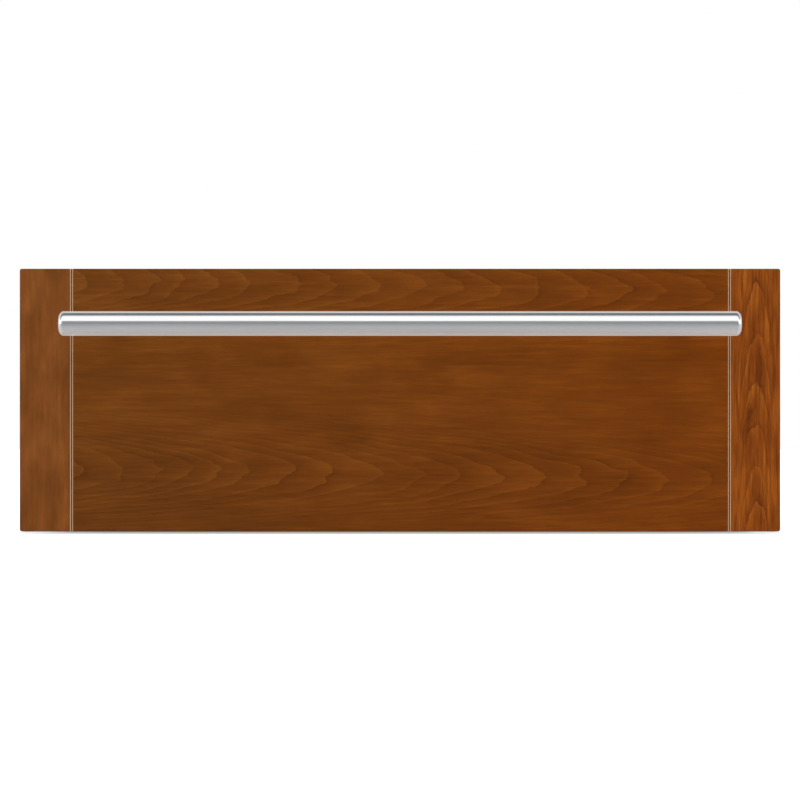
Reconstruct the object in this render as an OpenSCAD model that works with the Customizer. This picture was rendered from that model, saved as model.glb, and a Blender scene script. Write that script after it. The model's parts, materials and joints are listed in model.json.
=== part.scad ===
// Warming drawer: an insulated steel cabinet with a tube heater, a drawer pan on
// ball-bearing rails, and a front of cherry boards with a bar handle.
// Millimetres. X runs along the front, Y to the back and Z up. The origin is the
// middle of the footprint, on the surface that the feet stand on.

/* [Wood front] */
// Width of the wood front
panel_w = 756; // [745:1:800]
// Height of the wood front
panel_h = 261; // [250:1:290]
// Thickness of the wood boards
panel_t = 19; // [16:0.5:24]
// Width of each upright end board, to the middle of its joint
stile_w = 51; // [45:1:80]
// Open joint between an end board and the middle board
joint_gap = 1; // [0.6:0.1:2]
// Bevel on both edges of that joint
joint_bevel = 1; // [0.5:0.1:1.5]
// Reach of the tongue into an end board
tongue_l = 10; // [6:1:14]
// Thickness of the tongue
tongue_t = 6; // [4:0.5:8]
// Small bevel round the face of the wood
edge_bevel = 1; // [0.5:0.1:2]
// Corner radius of the wood front, seen from the front
panel_r = 2; // [1:0.5:6]
// Gap between the wood front and the surface below
floor_gap = 3; // [2:0.5:10]

/* [Handle] */
// Length of the handle over its end caps
handle_len = 675; // [600:1:700]
// Outside diameter of the handle bar
handle_d = 25; // [22:0.5:30]
// Wall of the handle bar
handle_wall = 1.5; // [1:0.1:2.5]
// Distance from the wood to the middle of the bar
handle_reach = 50; // [42:1:65]
// Distance from the top of the wood to the middle of the bar
handle_drop = 54.5; // [50:0.5:70]
// Radius of the rounded rim of each end cap
cap_dome = 5.5; // [2:0.5:6]
// Length of the end cap inside the bar
cap_plug = 9; // [5:1:15]
// Diameter of the handle posts
post_d = 19; // [16:0.5:21]
// Distance from the end of the handle to a post
post_inset = 60; // [45:1:90]
// Depth that a post's spigot reaches into the bar
spigot_l = 5; // [3:0.5:8]
// Diameter of a post's spigot
spigot_d = 11; // [8:0.5:13]
// Thread diameter of the handle bolts
bolt_d = 6; // [5:1:8]
// Depth that a handle bolt reaches into its post
bolt_grip = 16; // [10:1:24]

/* [Drawer front] */
// Thickness of the steel plate behind the wood
plate_t = 1.2; // [1:0.1:2]
// Distance from the edge of the wood to the steel plate
plate_inset = 8; // [5:0.5:8]
// Depth of the drawer front behind the wood
front_t = 26; // [24:1:40]
// Thickness of the drawer front's inner steel skin
skin_t = 1; // [0.8:0.1:1.5]
// Corner radius of the inner skin
skin_r = 10; // [6:1:14]
// Width of the inner skin's screw flange
skin_flange = 10; // [9:0.5:11]
// Width of the seal
seal_w = 12; // [10:0.5:13]
// Space between the drawer front and the cabinet, which the seal fills
seal_t = 6; // [5.5:0.5:8]
// Distance from the cavity's mouth to the seal
seal_margin = 2; // [1:0.5:3]

/* [Cabinet] */
// Width of the cabinet
case_w = 718; // [712:1:720]
// Height of the cabinet without its feet
case_h = 232; // [226:1:236]
// Depth of the cabinet
case_d = 570; // [560:1:640]
// Thickness of the outer sheet
case_sheet = 1; // [0.8:0.1:1.5]
// Thickness of the front frame
frame_t = 1.5; // [1.2:0.1:2.5]
// How far the front frame stands out past each side of the cabinet
frame_side = 12; // [10:0.5:13]
// How far the front frame stands out above and below the cabinet
frame_rise = 6; // [3:0.5:8]
// Radius of the holes that screw the frame to the surrounding cupboard
fixing_r = 2.5; // [2:0.1:3]
// Height between those holes
fixing_pitch = 160; // [120:5:190]
// Width of the folded flanges of the outer sheets
fold_w = 14; // [12:1:18]
// How far the back panel is set in from the rear edge
back_inset = 3; // [3:0.5:8]
// Height of the rubber feet
foot_h = 13; // [13:0.5:20]
// Diameter of the rubber feet
foot_d = 30; // [24:1:36]

/* [Cavity] */
// Space between the cavity and the outer sheet at each side
side_space = 58; // [56:1:62]
// Space for insulation above and below the cavity
wool_space = 27; // [24:1:30]
// Space between the cavity and the rear edge of the cabinet
rear_space = 72; // [70:1:90]
// Thickness of the side insulation
wool_side_t = 35; // [25:1:36]
// Thickness of the rear insulation
wool_rear_t = 25; // [18:1:27]
// Thickness of the cavity's steel
liner_t = 1; // [0.8:0.1:1.5]
// Corner radius of the cavity
liner_r = 8; // [4:1:12]
// Width of the flange round the cavity's mouth
liner_flange = 12; // [8:1:15]

/* [Drawer pan] */
// Thickness of the pan's steel
pan_t = 1; // [0.8:0.1:1.5]
// Depth of the pan, inside its rim
pan_depth = 126; // [100:1:130]
// Length of the pan, front to back
pan_len = 462; // [400:1:464]
// Space between the pan's rim and the roof of the cavity
rim_space = 12; // [9:0.5:16]
// Width of the pan's rim
rim_w = 9; // [8:0.5:10]
// Corner radius of the pan, seen from above
pan_r = 22; // [12:1:36]
// Radius of the pan's floor edge
pan_floor_r = 14; // [6:1:20]
// Thickness of the drawer's side brackets
bracket_t = 1.5; // [1.2:0.1:2]
// Side clearance between the pan and its brackets
pan_play = 0.8; // [0.4:0.1:0.9]

/* [Rails] */
// Length of the ball-bearing rails
rail_len = 480; // [440:5:485]
// Height of the outer rail
rail_h = 45; // [40:1:50]
// Thickness of the closed set of rails
rail_t = 12.7; // [12.2:0.1:14]
// Sheet thickness of the rails
rail_wall = 1.5; // [1.3:0.1:1.6]
// Ball diameter
ball_d = 3.5; // [3:0.1:4]
// Depth of the ball grooves
race_depth = 0.35; // [0.2:0.05:0.4]
// Sheet thickness of the ball cages
cage_t = 0.6; // [0.5:0.1:0.7]
// Length of the ball cages
cage_len = 200; // [160:5:210]
// Balls in one row of a cage
row_balls = 9; // [5:1:11]
// Distance from the cavity's roof to the middle of the rails
rail_drop = 66; // [60:1:74]
// How far the rails start behind the frame
rail_setback = 4; // [2:0.5:8]

/* [Heater] */
// Diameter of the heater tube
tube_d = 8; // [6:0.5:9]
// Height of the heater tube's middle above the cavity's floor
tube_lift = 14; // [12:1:18]
// Bend radius of the heater tube
tube_bend = 25; // [20:1:30]
// Distance from the middle to the outer legs of the heater
outer_leg = 250; // [200:1:265]
// Distance from the middle to the inner legs of the heater
inner_leg = 100; // [70:1:110]
// Distance from the middle to each heater terminal
terminal_x = 30; // [22:1:40]

/* [Controls] */
// Distance from the middle of the drawer to the control knob
control_x = 336; // [335:0.5:337]
// Height of the knob above the feet
knob_z = 170; // [160:1:180]
// Diameter of the knob
knob_d = 24; // [20:0.5:25]
// Length of the knob
knob_l = 16; // [12:0.5:17]
// Diameter of the knob's shaft
shaft_d = 6; // [5:0.5:7]
// Distance from the knob down to the pilot lamp
lamp_drop = 50; // [40:1:58]
// Diameter of the pilot lamp
lamp_d = 8; // [6:0.5:9]

/* [Moisture vent] */
// Number of vent slots
vent_slots = 5; // [3:1:7]
// Distance between vent slots
vent_pitch = 24; // [22:1:28]
// Width of a vent slot
vent_slot_w = 10; // [6:0.5:10]
// Height of a vent slot
vent_slot_h = 14; // [10:0.5:16]
// Thickness of the vent's sliding strip
vent_strip_t = 1.2; // [1:0.1:2]

/* [Cord inlet] */
// Inside diameter of the cord bushing
cord_d = 9; // [7:0.5:11]
// Outside diameter of the cord bushing's flange
bushing_d = 22; // [18:0.5:26]

/* [Screws] */
// Shank diameter of the sheet-metal screws
screw_d = 4; // [3.5:0.1:4.5]
// Head diameter of the sheet-metal screws
screw_head_d = 8; // [7:0.1:9]
// Head height of the sheet-metal screws
screw_head_h = 2.2; // [1.6:0.1:2.6]

/* [Hidden] */
$fn = 48;

// Clearance of parts that lie loosely side by side, and of close round fits
play = 0.3;
slip = 0.05;

// Planes along Y, from the handle back to the rear edge of the cabinet
overall_d = handle_reach + handle_d / 2 + panel_t + front_t + seal_t + case_d;
face_y = handle_reach + handle_d / 2 - overall_d / 2;
panel_y = face_y + panel_t;
plate_y = panel_y + plate_t;
front_y = panel_y + front_t;
case_y = front_y + seal_t;
frame_y = case_y + frame_t;
case_end = case_y + case_d;
back_y = case_end - back_inset;
liner_y = case_end - rear_space;
cavity_end = liner_y - liner_t;

// Heights
panel_z1 = floor_gap + panel_h;
panel_mid = floor_gap + panel_h / 2;
case_z0 = foot_h;
case_z1 = foot_h + case_h;
floor_z = case_z0 + case_sheet;
roof_z = case_z1 - case_sheet;
liner_z0 = floor_z + wool_space;
liner_z1 = roof_z - wool_space;
cavity_z0 = liner_z0 + liner_t;
cavity_z1 = liner_z1 - liner_t;
cavity_mid = (cavity_z0 + cavity_z1) / 2;
cavity_h = cavity_z1 - cavity_z0;
rim_z = cavity_z1 - rim_space;
rail_z = cavity_z1 - rail_drop;
handle_z = panel_z1 - handle_drop;

// Widths
inside_w = case_w - 2 * case_sheet;
cavity_w = case_w - 2 * (case_sheet + side_space);
liner_w = cavity_w + 2 * liner_t;
liner_h = cavity_h + 2 * liner_t;
pan_w = cavity_w - 2 * (rail_t + bracket_t + pan_play);
joint_x = panel_w / 2 - stile_w;
post_x = handle_len / 2 - post_inset;
fixing_x = case_w / 2 + frame_side / 2;

// Widening at the foot of each handle post, and the heads of the handle bolts
post_foot_t = 2;
bolt_head_d = bolt_d * 2;
bolt_head_h = bolt_d * 0.6;

// Drawer front
skin_border = seal_margin + seal_w + 2;
skin_w = cavity_w + 2 * skin_border;
skin_h = cavity_h + 2 * skin_border;
skin_screw_l = 14;
stile_screw_x = panel_w / 2 - 28;

// Rails, across: distances from the cavity's wall
rail_play = 0.4;
rail_lip = 2.5;
cage_a = rail_wall + rail_play;
middle_a = cage_a + cage_t + rail_play;
cage_b = middle_a + rail_wall + rail_play;
inner_a = cage_b + cage_t + rail_play;
lip_a = rail_t - rail_lip;
ball_a = (middle_a + lip_a) / 2;
ball_b = (inner_a + lip_a) / 2;
cage_edge = 0.6;

// Rails, up and down: distances from their middle
row_gap = ball_d - 2 * race_depth;
outer_half = rail_h / 2;
row_a = outer_half - rail_wall - row_gap / 2;
middle_half = outer_half - rail_wall - row_gap;
row_b = middle_half - rail_wall - row_gap / 2;
inner_half = middle_half - rail_wall - row_gap;

// Rails, along
rail_y = frame_y + rail_setback;
cage_y = rail_y + (rail_len - cage_len) / 2;
ball_pitch = cage_len / row_balls;
rail_slot_w = 4.5;
rail_slot_l = 12;
rail_holes = [0.07, 0.5, 0.93];
rail_slots = [0.17, 0.29, 0.71, 0.83];
support_t = 2;
support_h = 30;
flat_head_d = 6.8;
flat_head_h = 1.1;

// Heater
tube_z = cavity_z0 + tube_lift;
heater_front = 48;
heater_rear = 50;
heater_bow = 30;
heater_y0 = frame_y + heater_front;
heater_y1 = cavity_end - heater_rear;
heater_bow_y = heater_y1 - heater_bow;
bow_bend = inner_leg * 0.9;
tube_past_wool = 9;
tube_end = liner_y + wool_rear_t + tube_past_wool;
pin_d = 3;
pin_l = 12;
clip_y = (heater_y0 + heater_y1) / 2 - 30;
clip_w = 20;
clip_t = 1.2;
clip_foot = 14;
clip_top = 3;
sleeve_d = tube_d + 5;
sleeve_head = 5;
sleeve_out = 8;
sleeve_head_t = 3;
sleeve_nut_t = 4;

// Control
control_w = 32;
control_h = 36;
control_l = 26;
collar_d = 9;
nut_t = 2.2;
nut_d = 14;
dial_t = 1.2;
dial_w = 32;
dial_top = 26;
dial_below = 16;
shaft_in = 10;
knob_gap = 0.4;
lamp_z = knob_z - lamp_drop;
lamp_l = 16;
lamp_dome = 2.5;

// Vent
vent_z = rim_z - 17;
strip_h = vent_slot_h + 8;
strip_w = vent_slots * vent_pitch + 8;
vent_travel = vent_pitch / 2;
strip_y = front_y + pan_t + play;
guide_t = 1;
guide_y = strip_y + vent_strip_t + play;
guide_edge = 5;
guide_w = strip_w + vent_travel + 2 * guide_edge + 1;
guide_h = strip_h + 2 * guide_edge + 1;

// Electrical parts behind the cavity
term_w = 56;
term_h = 24;
term_l = 21;
term_x = 200;
term_y = back_y - case_sheet - 1 - term_l;
loom_d = 6;
loom_x = control_x + 8;
loom_bend = 14;
lead_d = 3;
lead_bend = 8;
spade_x = 4;
spade_end = 18;
probe_tail = 14;
term_pitch = 18;
cord_x = 262;
cord_z = floor_z + fold_w + bushing_d / 2 + 1;
cord_hole_d = bushing_d - 5;
probe_x = 150;
probe_z = cavity_z1 - 18;
probe_d = 5;
probe_l = 26;
stat_x = -120;
stat_d = 16;
wool_hole_d = 34;

// Feet
foot_inset = 40;
front_foot_setback = 110;
rear_foot_setback = 45;
foot_x = case_w / 2 - foot_inset;
foot_y0 = case_y + front_foot_setback;
foot_y1 = case_end - rear_foot_setback;
foot_taper = 4;
foot_floor = 5;

// Places of the casing screws
side_screw_inset = 70;
tab_h = 30;
side_screw_y = [frame_y + side_screw_inset, case_end - side_screw_inset];
edge_screw_z = [floor_z + fold_w / 2, roof_z - fold_w / 2];
frame_screw_z = [floor_z + tab_h / 2, roof_z - tab_h / 2];
casing_screw_l = 6;

// Folded channel under the rear of the cavity
channel_w = 26;
channel_gap = 6;
channel_t = 1.5;

// Ventilation slots: pitch, length, width and distance from the rear or the top
base_vent = [26, 24, 4, 22];
top_vent = [30, 30, 4, 28];
back_vent = [32, 28, 4.5, 46];
back_vent_rows = 40;
base_vent_x = -90;
back_vent_x = -40;

// Terminal block: wire holes and the slits between its ways
term_hole_d = 7;
term_hole_l = 8;
term_slit = 2;

// ---------------------------------------------------------------- helpers

// A box between two opposite corners
module box(low, high) translate(low) cube(high - low);

// A flat outline drawn as (y, z), between two places along X
module along_x(x0, x1) translate([x0, 0, 0]) rotate([90, 0, 90]) linear_extrude(x1 - x0) children();

// A flat outline drawn as (x, z), between two places along Y
module along_y(y0, y1) translate([0, y1, 0]) rotate([90, 0, 0]) linear_extrude(y1 - y0) children();

// A flat outline drawn as (x, y), between two heights
module along_z(z0, z1) translate([0, 0, z0]) linear_extrude(z1 - z0) children();

module rounded(w, h, r) {
    square([w - 2 * r, h], center = true);
    square([w, h - 2 * r], center = true);
    for (x = [-1, 1], y = [-1, 1]) translate([x * (w / 2 - r), y * (h / 2 - r)]) circle(r);
}

// A slot with round ends that is l long and w wide, lying along the first axis
module slot(l, w) {
    square([l - w, w], center = true);
    for (x = [-1, 1]) translate([x * (l - w) / 2, 0]) circle(w / 2);
}

module both_sides() {
    children();
    mirror([1, 0, 0]) children();
}

// side is 1 for the right and -1 for the left
module on_side(side) mirror([side < 0 ? 1 : 0, 0, 0]) children();

// A pan-head screw along +Z, whose head sits on z = 0, and the hole for it
module screw(l, d = screw_d, head_d = screw_head_d, head_h = screw_head_h) {
    translate([0, 0, -head_h]) cylinder(h = head_h, d = head_d);
    cylinder(h = l, d = d);
}

module screw_hole(l, d = screw_d) translate([0, 0, -l]) cylinder(h = 2 * l, d = d + 2 * slip);

// Room for a head that sits on z = 0
module head_room(head_d = screw_head_d, head_h = screw_head_h)
    translate([0, 0, -head_h - play]) cylinder(h = head_h + 2 * play, d = head_d + 2 * play);

// A flat-head screw along +Z, flush with z = 0
module flat_screw(l, grow = 0) {
    cylinder(h = flat_head_h, d1 = flat_head_d + 2 * grow, d2 = screw_d + 2 * grow);
    cylinder(h = l, d = screw_d + 2 * grow);
}

// A round rod between two places along X or Y, or between two points
module rod_x(x0, x1, d) translate([x0, 0, 0]) rotate([0, 90, 0]) cylinder(h = x1 - x0, d = d);
module rod_y(y0, y1, d) translate([0, y0, 0]) rotate([-90, 0, 0]) cylinder(h = y1 - y0, d = d);
module rod(a, b, d) {
    v = b - a;
    translate(a) rotate([0, acos(v.z / norm(v)), atan2(v.y, v.x)]) cylinder(h = norm(v), d = d);
}

function unit(v) = v / norm(v);

// A round tube or lead along a route of right-angled turns, each with its bend radius
module tube_route(points, radii, d) {
    last = len(points) - 1;
    for (i = [0:last - 1]) {
        u = unit(points[i + 1] - points[i]);
        from = i == 0 ? 0 : radii[i - 1];
        to = i == last - 1 ? 0 : radii[i];
        rod(points[i] + u * from, points[i + 1] - u * to, d);
    }
    for (i = [1:last - 1]) {
        r = radii[i - 1];
        u = unit(points[i] - points[i - 1]);
        v = unit(points[i + 1] - points[i]);
        w = cross(u, v);
        c = points[i] + (v - u) * r;
        multmatrix([[-v.x, u.x, w.x, c.x], [-v.y, u.y, w.y, c.y], [-v.z, u.z, w.z, c.z]])
            rotate_extrude(angle = 90) translate([r, 0]) circle(d = d);
    }
}

// A round lead whose turns all have the same bend radius
module lead_route(points, r, d) tube_route(points, [for (i = [2:len(points) - 1]) r], d);

// A shallow dome with its flat side on z = 0
module dome(d, h) {
    r = (d * d / 4 + h * h) / (2 * h);
    rotate_extrude() intersection() {
        translate([0, h - r]) circle(r);
        square([d / 2, h]);
    }
}

// ---------------------------------------------------------------- wood front

// What every board shares: the face bevel along the top and bottom, and the corner radius
module panel_outline() {
    intersection() {
        along_x(-panel_w / 2, panel_w / 2) polygon([
            [face_y, floor_gap + edge_bevel], [face_y, panel_z1 - edge_bevel],
            [face_y + edge_bevel, panel_z1], [panel_y, panel_z1],
            [panel_y, floor_gap], [face_y + edge_bevel, floor_gap]
        ]);
        translate([0, 0, panel_mid])
            along_y(face_y - 1, panel_y + 1) rounded(panel_w, panel_h, panel_r);
    }
}

module panel_field() {
    edge = joint_x - joint_gap / 2;
    tip = joint_x + joint_gap / 2 + tongue_l - play;
    mid = (face_y + panel_y) / 2;
    half = [
        [edge - joint_bevel, face_y], [edge, face_y + joint_bevel],
        [edge, mid - tongue_t / 2], [tip, mid - tongue_t / 2],
        [tip, mid + tongue_t / 2], [edge, mid + tongue_t / 2], [edge, panel_y]
    ];
    last = len(half) - 1;
    color("#6f3c17") difference() {
        intersection() {
            panel_outline();
            along_z(0, panel_z1 + 1)
                polygon([for (p = half) p, for (i = [0:last]) [-half[last - i].x, half[last - i].y]]);
        }
        at_handle_bolts() cylinder(h = plate_t + panel_t + 1, d = bolt_d + 2 * play);
        at_skin_screws() screw_hole(skin_screw_l);
    }
}

module panel_stile(side) {
    edge = joint_x + joint_gap / 2;
    end = panel_w / 2;
    mid = (face_y + panel_y) / 2;
    groove = tongue_t / 2 + slip;
    color("#7b4522") difference() {
        intersection() {
            panel_outline();
            on_side(side) along_z(0, panel_z1 + 1) polygon([
                [edge + joint_bevel, face_y], [end - edge_bevel, face_y],
                [end, face_y + edge_bevel], [end, panel_y], [edge, panel_y],
                [edge, mid + groove], [edge + tongue_l, mid + groove],
                [edge + tongue_l, mid - groove], [edge, mid - groove],
                [edge, face_y + joint_bevel]
            ]);
        }
        at_stile_screws() screw_hole(skin_screw_l);
    }
}

// ---------------------------------------------------------------- handle

module at_posts() for (side = [-1, 1]) translate([side * post_x, 0, handle_z]) children();

// Handle bolts start under their heads, behind the steel plate, and point at the bar
module at_handle_bolts() at_posts() translate([0, plate_y, 0]) rotate([90, 0, 0]) children();

module handle_axis() translate([0, face_y - handle_reach, handle_z]) children();

module handle_bar() {
    half = handle_len / 2 - cap_dome;
    color("#b9babd") difference() {
        handle_axis() rod_x(-half, half, handle_d);
        handle_axis() rod_x(-half - 1, half + 1, handle_d - 2 * handle_wall);
        at_posts() rod_y(face_y - handle_reach, face_y, spigot_d + 2 * slip);
    }
}

module handle_caps() {
    bore_d = handle_d - 2 * handle_wall;
    start = handle_len / 2 - cap_dome;
    color("#c6c7ca") both_sides() handle_axis() {
        rod_x(start - cap_plug, start, bore_d - 2 * slip);
        translate([start, 0, 0]) rotate([0, 90, 0]) rotate_extrude() intersection() {
            rounded(handle_d, 2 * cap_dome, cap_dome);
            square([handle_d / 2, cap_dome]);
        }
    }
}

module handle_posts() {
    bar_y = face_y - handle_reach;
    bar_back = bar_y + handle_d / 2;
    color("#b3b4b7") difference() {
        union() {
            difference() {
                at_posts() {
                    rod_y(bar_y, face_y, post_d);
                    rod_y(face_y - post_foot_t, face_y, post_d + post_foot_t);
                }
                handle_axis() rod_x(-handle_len, handle_len, handle_d);
            }
            at_posts() rod_y(bar_back - spigot_l, bar_back + 1, spigot_d);
        }
        at_handle_bolts() cylinder(h = plate_t + panel_t + bolt_grip + 1, d = bolt_d + 2 * slip);
    }
}

module handle_bolts() {
    color("#8d8f92") at_handle_bolts()
        screw(plate_t + panel_t + bolt_grip, bolt_d, bolt_head_d, bolt_head_h);
}

// ---------------------------------------------------------------- drawer front

// Screws that hold the inner skin, the plate and the wood together, heads to the rear
module at_skin_screws() {
    reach = min(skin_w / 2 - skin_r, joint_x - 20);
    z = skin_h / 2 + skin_flange / 2;
    for (part = [-1, -0.33, 0.33, 1], side = [-1, 1])
        translate([part * reach, plate_y + skin_t, cavity_mid + side * z]) rotate([90, 0, 0]) children();
}

module at_stile_screws()
    for (side = [-1, 1], part = [-0.36, 0, 0.36])
        translate([side * stile_screw_x, plate_y, panel_mid + part * panel_h]) rotate([90, 0, 0]) children();

module front_plate() {
    color("#9fa3a6") difference() {
        translate([0, 0, panel_mid]) along_y(panel_y, plate_y)
            rounded(panel_w - 2 * plate_inset, panel_h - 2 * plate_inset, panel_r + 2);
        at_handle_bolts() screw_hole(plate_t + 1, bolt_d);
        at_skin_screws() screw_hole(skin_t + plate_t + 1);
        at_stile_screws() screw_hole(plate_t + 1);
    }
}

module panel_screws() {
    color("#a9acaf") {
        at_skin_screws() screw(skin_screw_l - 1);
        at_stile_screws() screw(skin_screw_l - 1);
    }
}

// The slots that let moist air out of the pan, and up and out of the drawer front
module vent_row(shift = 0)
    for (i = [0:vent_slots - 1])
        translate([(i - (vent_slots - 1) / 2) * vent_pitch + shift, 0, 0]) children();

module inner_front() {
    color("#c3c5c7") difference() {
        translate([0, 0, cavity_mid]) {
            difference() {
                along_y(plate_y, front_y) rounded(skin_w, skin_h, skin_r);
                along_y(plate_y - 1, front_y - skin_t)
                    rounded(skin_w - 2 * skin_t, skin_h - 2 * skin_t, skin_r - skin_t);
            }
            along_y(plate_y, plate_y + skin_t) difference() {
                rounded(skin_w + 2 * skin_flange, skin_h + 2 * skin_flange, skin_r);
                rounded(skin_w - 2 * skin_t, skin_h - 2 * skin_t, skin_r - skin_t);
            }
        }
        at_skin_screws() screw_hole(skin_t + 1);
        at_bracket_screws() screw_hole(bracket_t + skin_t + 1);
        translate([0, 0, vent_z]) along_y(front_y - skin_t - 1, front_y + 1)
            vent_row() rotate(90) slot(vent_slot_h, vent_slot_w);
        at_handle_bolts() head_room(bolt_head_d, bolt_head_h);
        at_stile_screws() head_room();
        translate([0, (plate_y + front_y) / 2, cavity_mid + skin_h / 2])
            along_z(-skin_t - 1, 1) vent_row() rotate(90) slot(vent_slot_h, vent_slot_w / 2);
    }
}

module front_wool() {
    w = skin_w - 2 * (skin_t + play);
    h = skin_h - 2 * (skin_t + play);
    duct = strip_w / 2;
    color("#e2d9b4") difference() {
        translate([0, 0, cavity_mid]) along_y(plate_y + play, front_y - skin_t - play)
            rounded(w, h, skin_r - skin_t - play);
        box([-duct, plate_y, vent_z - strip_h / 2], [duct, front_y, panel_z1]);
        at_posts() rod_y(plate_y, plate_y + bolt_d, bolt_d * 3);
        at_stile_screws() head_room();
        at_bracket_screws() cylinder(h = 8, d = screw_head_d + 2);
    }
}

// Hollow-bulb seal: a flat foot with a round bead that meets the cabinet's frame
module seal_profile() {
    reach = seal_t - play;
    bead = reach * 0.55;
    translate([-seal_w / 2, 0]) square([seal_w, reach / 3]);
    translate([0, reach - bead]) circle(bead);
}

module door_seal() {
    a = cavity_w / 2 + seal_margin + seal_w / 2;
    b = cavity_h / 2 + seal_margin + seal_w / 2;
    r = seal_w / 2 + 4;
    color("#3b3c3e") intersection() {
        translate([0, front_y, cavity_mid]) rotate([-90, 0, 0]) {
            for (side = [-1, 1]) {
                translate([r - a, side * b, 0])
                    rotate([90, 0, 90]) linear_extrude(2 * (a - r)) seal_profile();
                translate([side * a, b - r, 0])
                    rotate([90, 0, 0]) linear_extrude(2 * (b - r)) seal_profile();
            }
            for (turn = [0:3]) {
                x = (turn == 0 || turn == 3 ? 1 : -1) * (a - r);
                y = (turn < 2 ? 1 : -1) * (b - r);
                translate([x, y, 0]) rotate(turn * 90)
                    rotate_extrude(angle = 90) translate([r, 0]) seal_profile();
            }
        }
        box([-panel_w, front_y, 0], [panel_w, case_y, panel_z1]);
    }
}

// ---------------------------------------------------------------- drawer pan

pan_y = front_y;
pan_mid_y = pan_y + pan_len / 2;
pan_z = rim_z - pan_depth;
bracket_x = cavity_w / 2 - rail_t;
tab_w = 10;
rim_r = 4;
rim_screw_y = [0.12, 0.5, 0.9];

// Screws through the rim and the brackets' top flanges
module at_rim_screws()
    for (side = [-1, 1], part = rim_screw_y)
        translate([side * (pan_w / 2 + rim_w / 2 + 1), pan_y + part * pan_len, rim_z + pan_t])
            rotate([180, 0, 0]) children();

// Screws that hold the brackets' front tabs to the drawer front
module at_bracket_screws()
    for (side = [-1, 1], z = [rail_z, rim_z - 14])
        translate([side * (bracket_x + tab_w / 2), front_y + bracket_t, z]) rotate([90, 0, 0]) children();

// Screws that hold the inner rails to the brackets
module at_inner_rail_screws()
    for (side = [-1, 1], part = rail_holes)
        translate([side * (bracket_x + rail_wall), rail_y + part * rail_len, rail_z])
            rotate([0, -side * 90, 0]) children();

// Corners of the vent's guide frame
module at_guide_screws()
    for (x = [-1, 1], z = [-1, 1])
        translate([vent_travel / 2 + x * (guide_w / 2 - guide_edge / 2), guide_y + guide_t,
            vent_z + z * (guide_h / 2 - guide_edge / 2)]) rotate([90, 0, 0]) children();

// The pan's bowl, with round corners and a rounded edge along its floor. in is how far
// the surface lies inside the pan's outside
module pan_bowl(in) {
    high = 2 * pan_depth;
    r = pan_floor_r - in;
    intersection() {
        translate([0, pan_mid_y, 0]) along_z(pan_z + in, rim_z + pan_t + in)
            rounded(pan_w - 2 * in, pan_len - 2 * in, pan_r - in);
        translate([0, 0, pan_z + in + high / 2])
            along_y(pan_y, pan_y + pan_len) rounded(pan_w - 2 * in, high, r);
        translate([0, pan_mid_y, pan_z + in + high / 2])
            along_x(-pan_w / 2, pan_w / 2) rounded(pan_len - 2 * in, high, r);
    }
}

module drawer_pan() {
    rim_len = pan_len + rim_w;
    color("#c9cbcc") difference() {
        union() {
            pan_bowl(0);
            translate([0, pan_y + rim_len / 2, 0]) along_z(rim_z, rim_z + pan_t)
                rounded(pan_w + 2 * rim_w, rim_len, rim_r);
        }
        pan_bowl(pan_t);
        at_rim_screws() screw_hole(pan_t + 1);
        at_guide_screws() screw_hole(guide_y + guide_t - front_y + 0.5, screw_d / 2);
        translate([0, 0, vent_z]) along_y(front_y - 1, front_y + pan_t + 1)
            vent_row() rotate(90) slot(vent_slot_h, vent_slot_w);
    }
}

module drawer_bracket(side) {
    low = rail_z - inner_half - 4;
    far = pan_y + pan_len;
    color("#aeb1b4") difference() {
        on_side(side) {
            box([bracket_x - bracket_t, front_y, low], [bracket_x, far, rim_z]);
            box([bracket_x - bracket_t, front_y, rim_z - bracket_t], [bracket_x + tab_w, far, rim_z]);
            box([bracket_x - bracket_t, front_y, low + 6],
                [bracket_x + tab_w, front_y + bracket_t, rim_z]);
        }
        at_rim_screws() screw_hole(pan_t + bracket_t + 1);
        at_bracket_screws() screw_hole(bracket_t + 1);
        at_inner_rail_screws() screw_hole(rail_wall + bracket_t + 1);
        for (part = [0.28, 0.72])
            translate([side * bracket_x, rail_y + part * rail_len, rail_z])
                along_x(-bracket_t - 1, bracket_t + 1) slot(60, inner_half);
    }
}

module drawer_screws() {
    color("#b4b6b8") {
        at_rim_screws() screw(pan_t + bracket_t, screw_d, screw_head_d, 1.6);
        at_bracket_screws() screw(bracket_t + skin_t + 1);
        at_inner_rail_screws() screw(rail_wall + bracket_t, screw_d, screw_head_d, 1.6);
        at_guide_screws() screw(guide_y + guide_t - front_y, screw_d / 2, screw_d, 1);
    }
}

// ---------------------------------------------------------------- moisture vent

module vent_guide() {
    color("#b9bbbd") difference() {
        translate([vent_travel / 2, 0, vent_z]) {
            difference() {
                along_y(front_y + pan_t, guide_y + guide_t) rounded(guide_w, guide_h, 2);
                along_y(front_y, guide_y) square([strip_w + vent_travel + 1, strip_h + 1], center = true);
                along_y(front_y, guide_y + guide_t + 1)
                    square([strip_w + vent_travel - 4, strip_h - 6], center = true);
            }
        }
        at_guide_screws() screw_hole(guide_y + guide_t - front_y, screw_d / 2);
    }
}

// The strip covers the slots at rest and uncovers them when it slides half a pitch to the left
module vent_strip() {
    color("#8f9294") translate([vent_travel, 0, vent_z]) difference() {
        union() {
            along_y(strip_y, strip_y + vent_strip_t) rounded(strip_w, strip_h, 1.5);
            along_y(strip_y, guide_y + guide_t + 6)
                translate([-vent_travel, 0]) rounded(vent_pitch - vent_slot_w - 4, strip_h - 12, 1.5);
        }
        along_y(strip_y - 1, strip_y + vent_strip_t + 1)
            vent_row() rotate(90) slot(vent_slot_h, vent_slot_w);
    }
}

// ---------------------------------------------------------------- rails

// Draws a rail outline, given as (distance from the cavity's wall, height), on the right side
module rail_outline(side) on_side(side) translate([cavity_w / 2, rail_z]) mirror([1, 0]) children();

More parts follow.
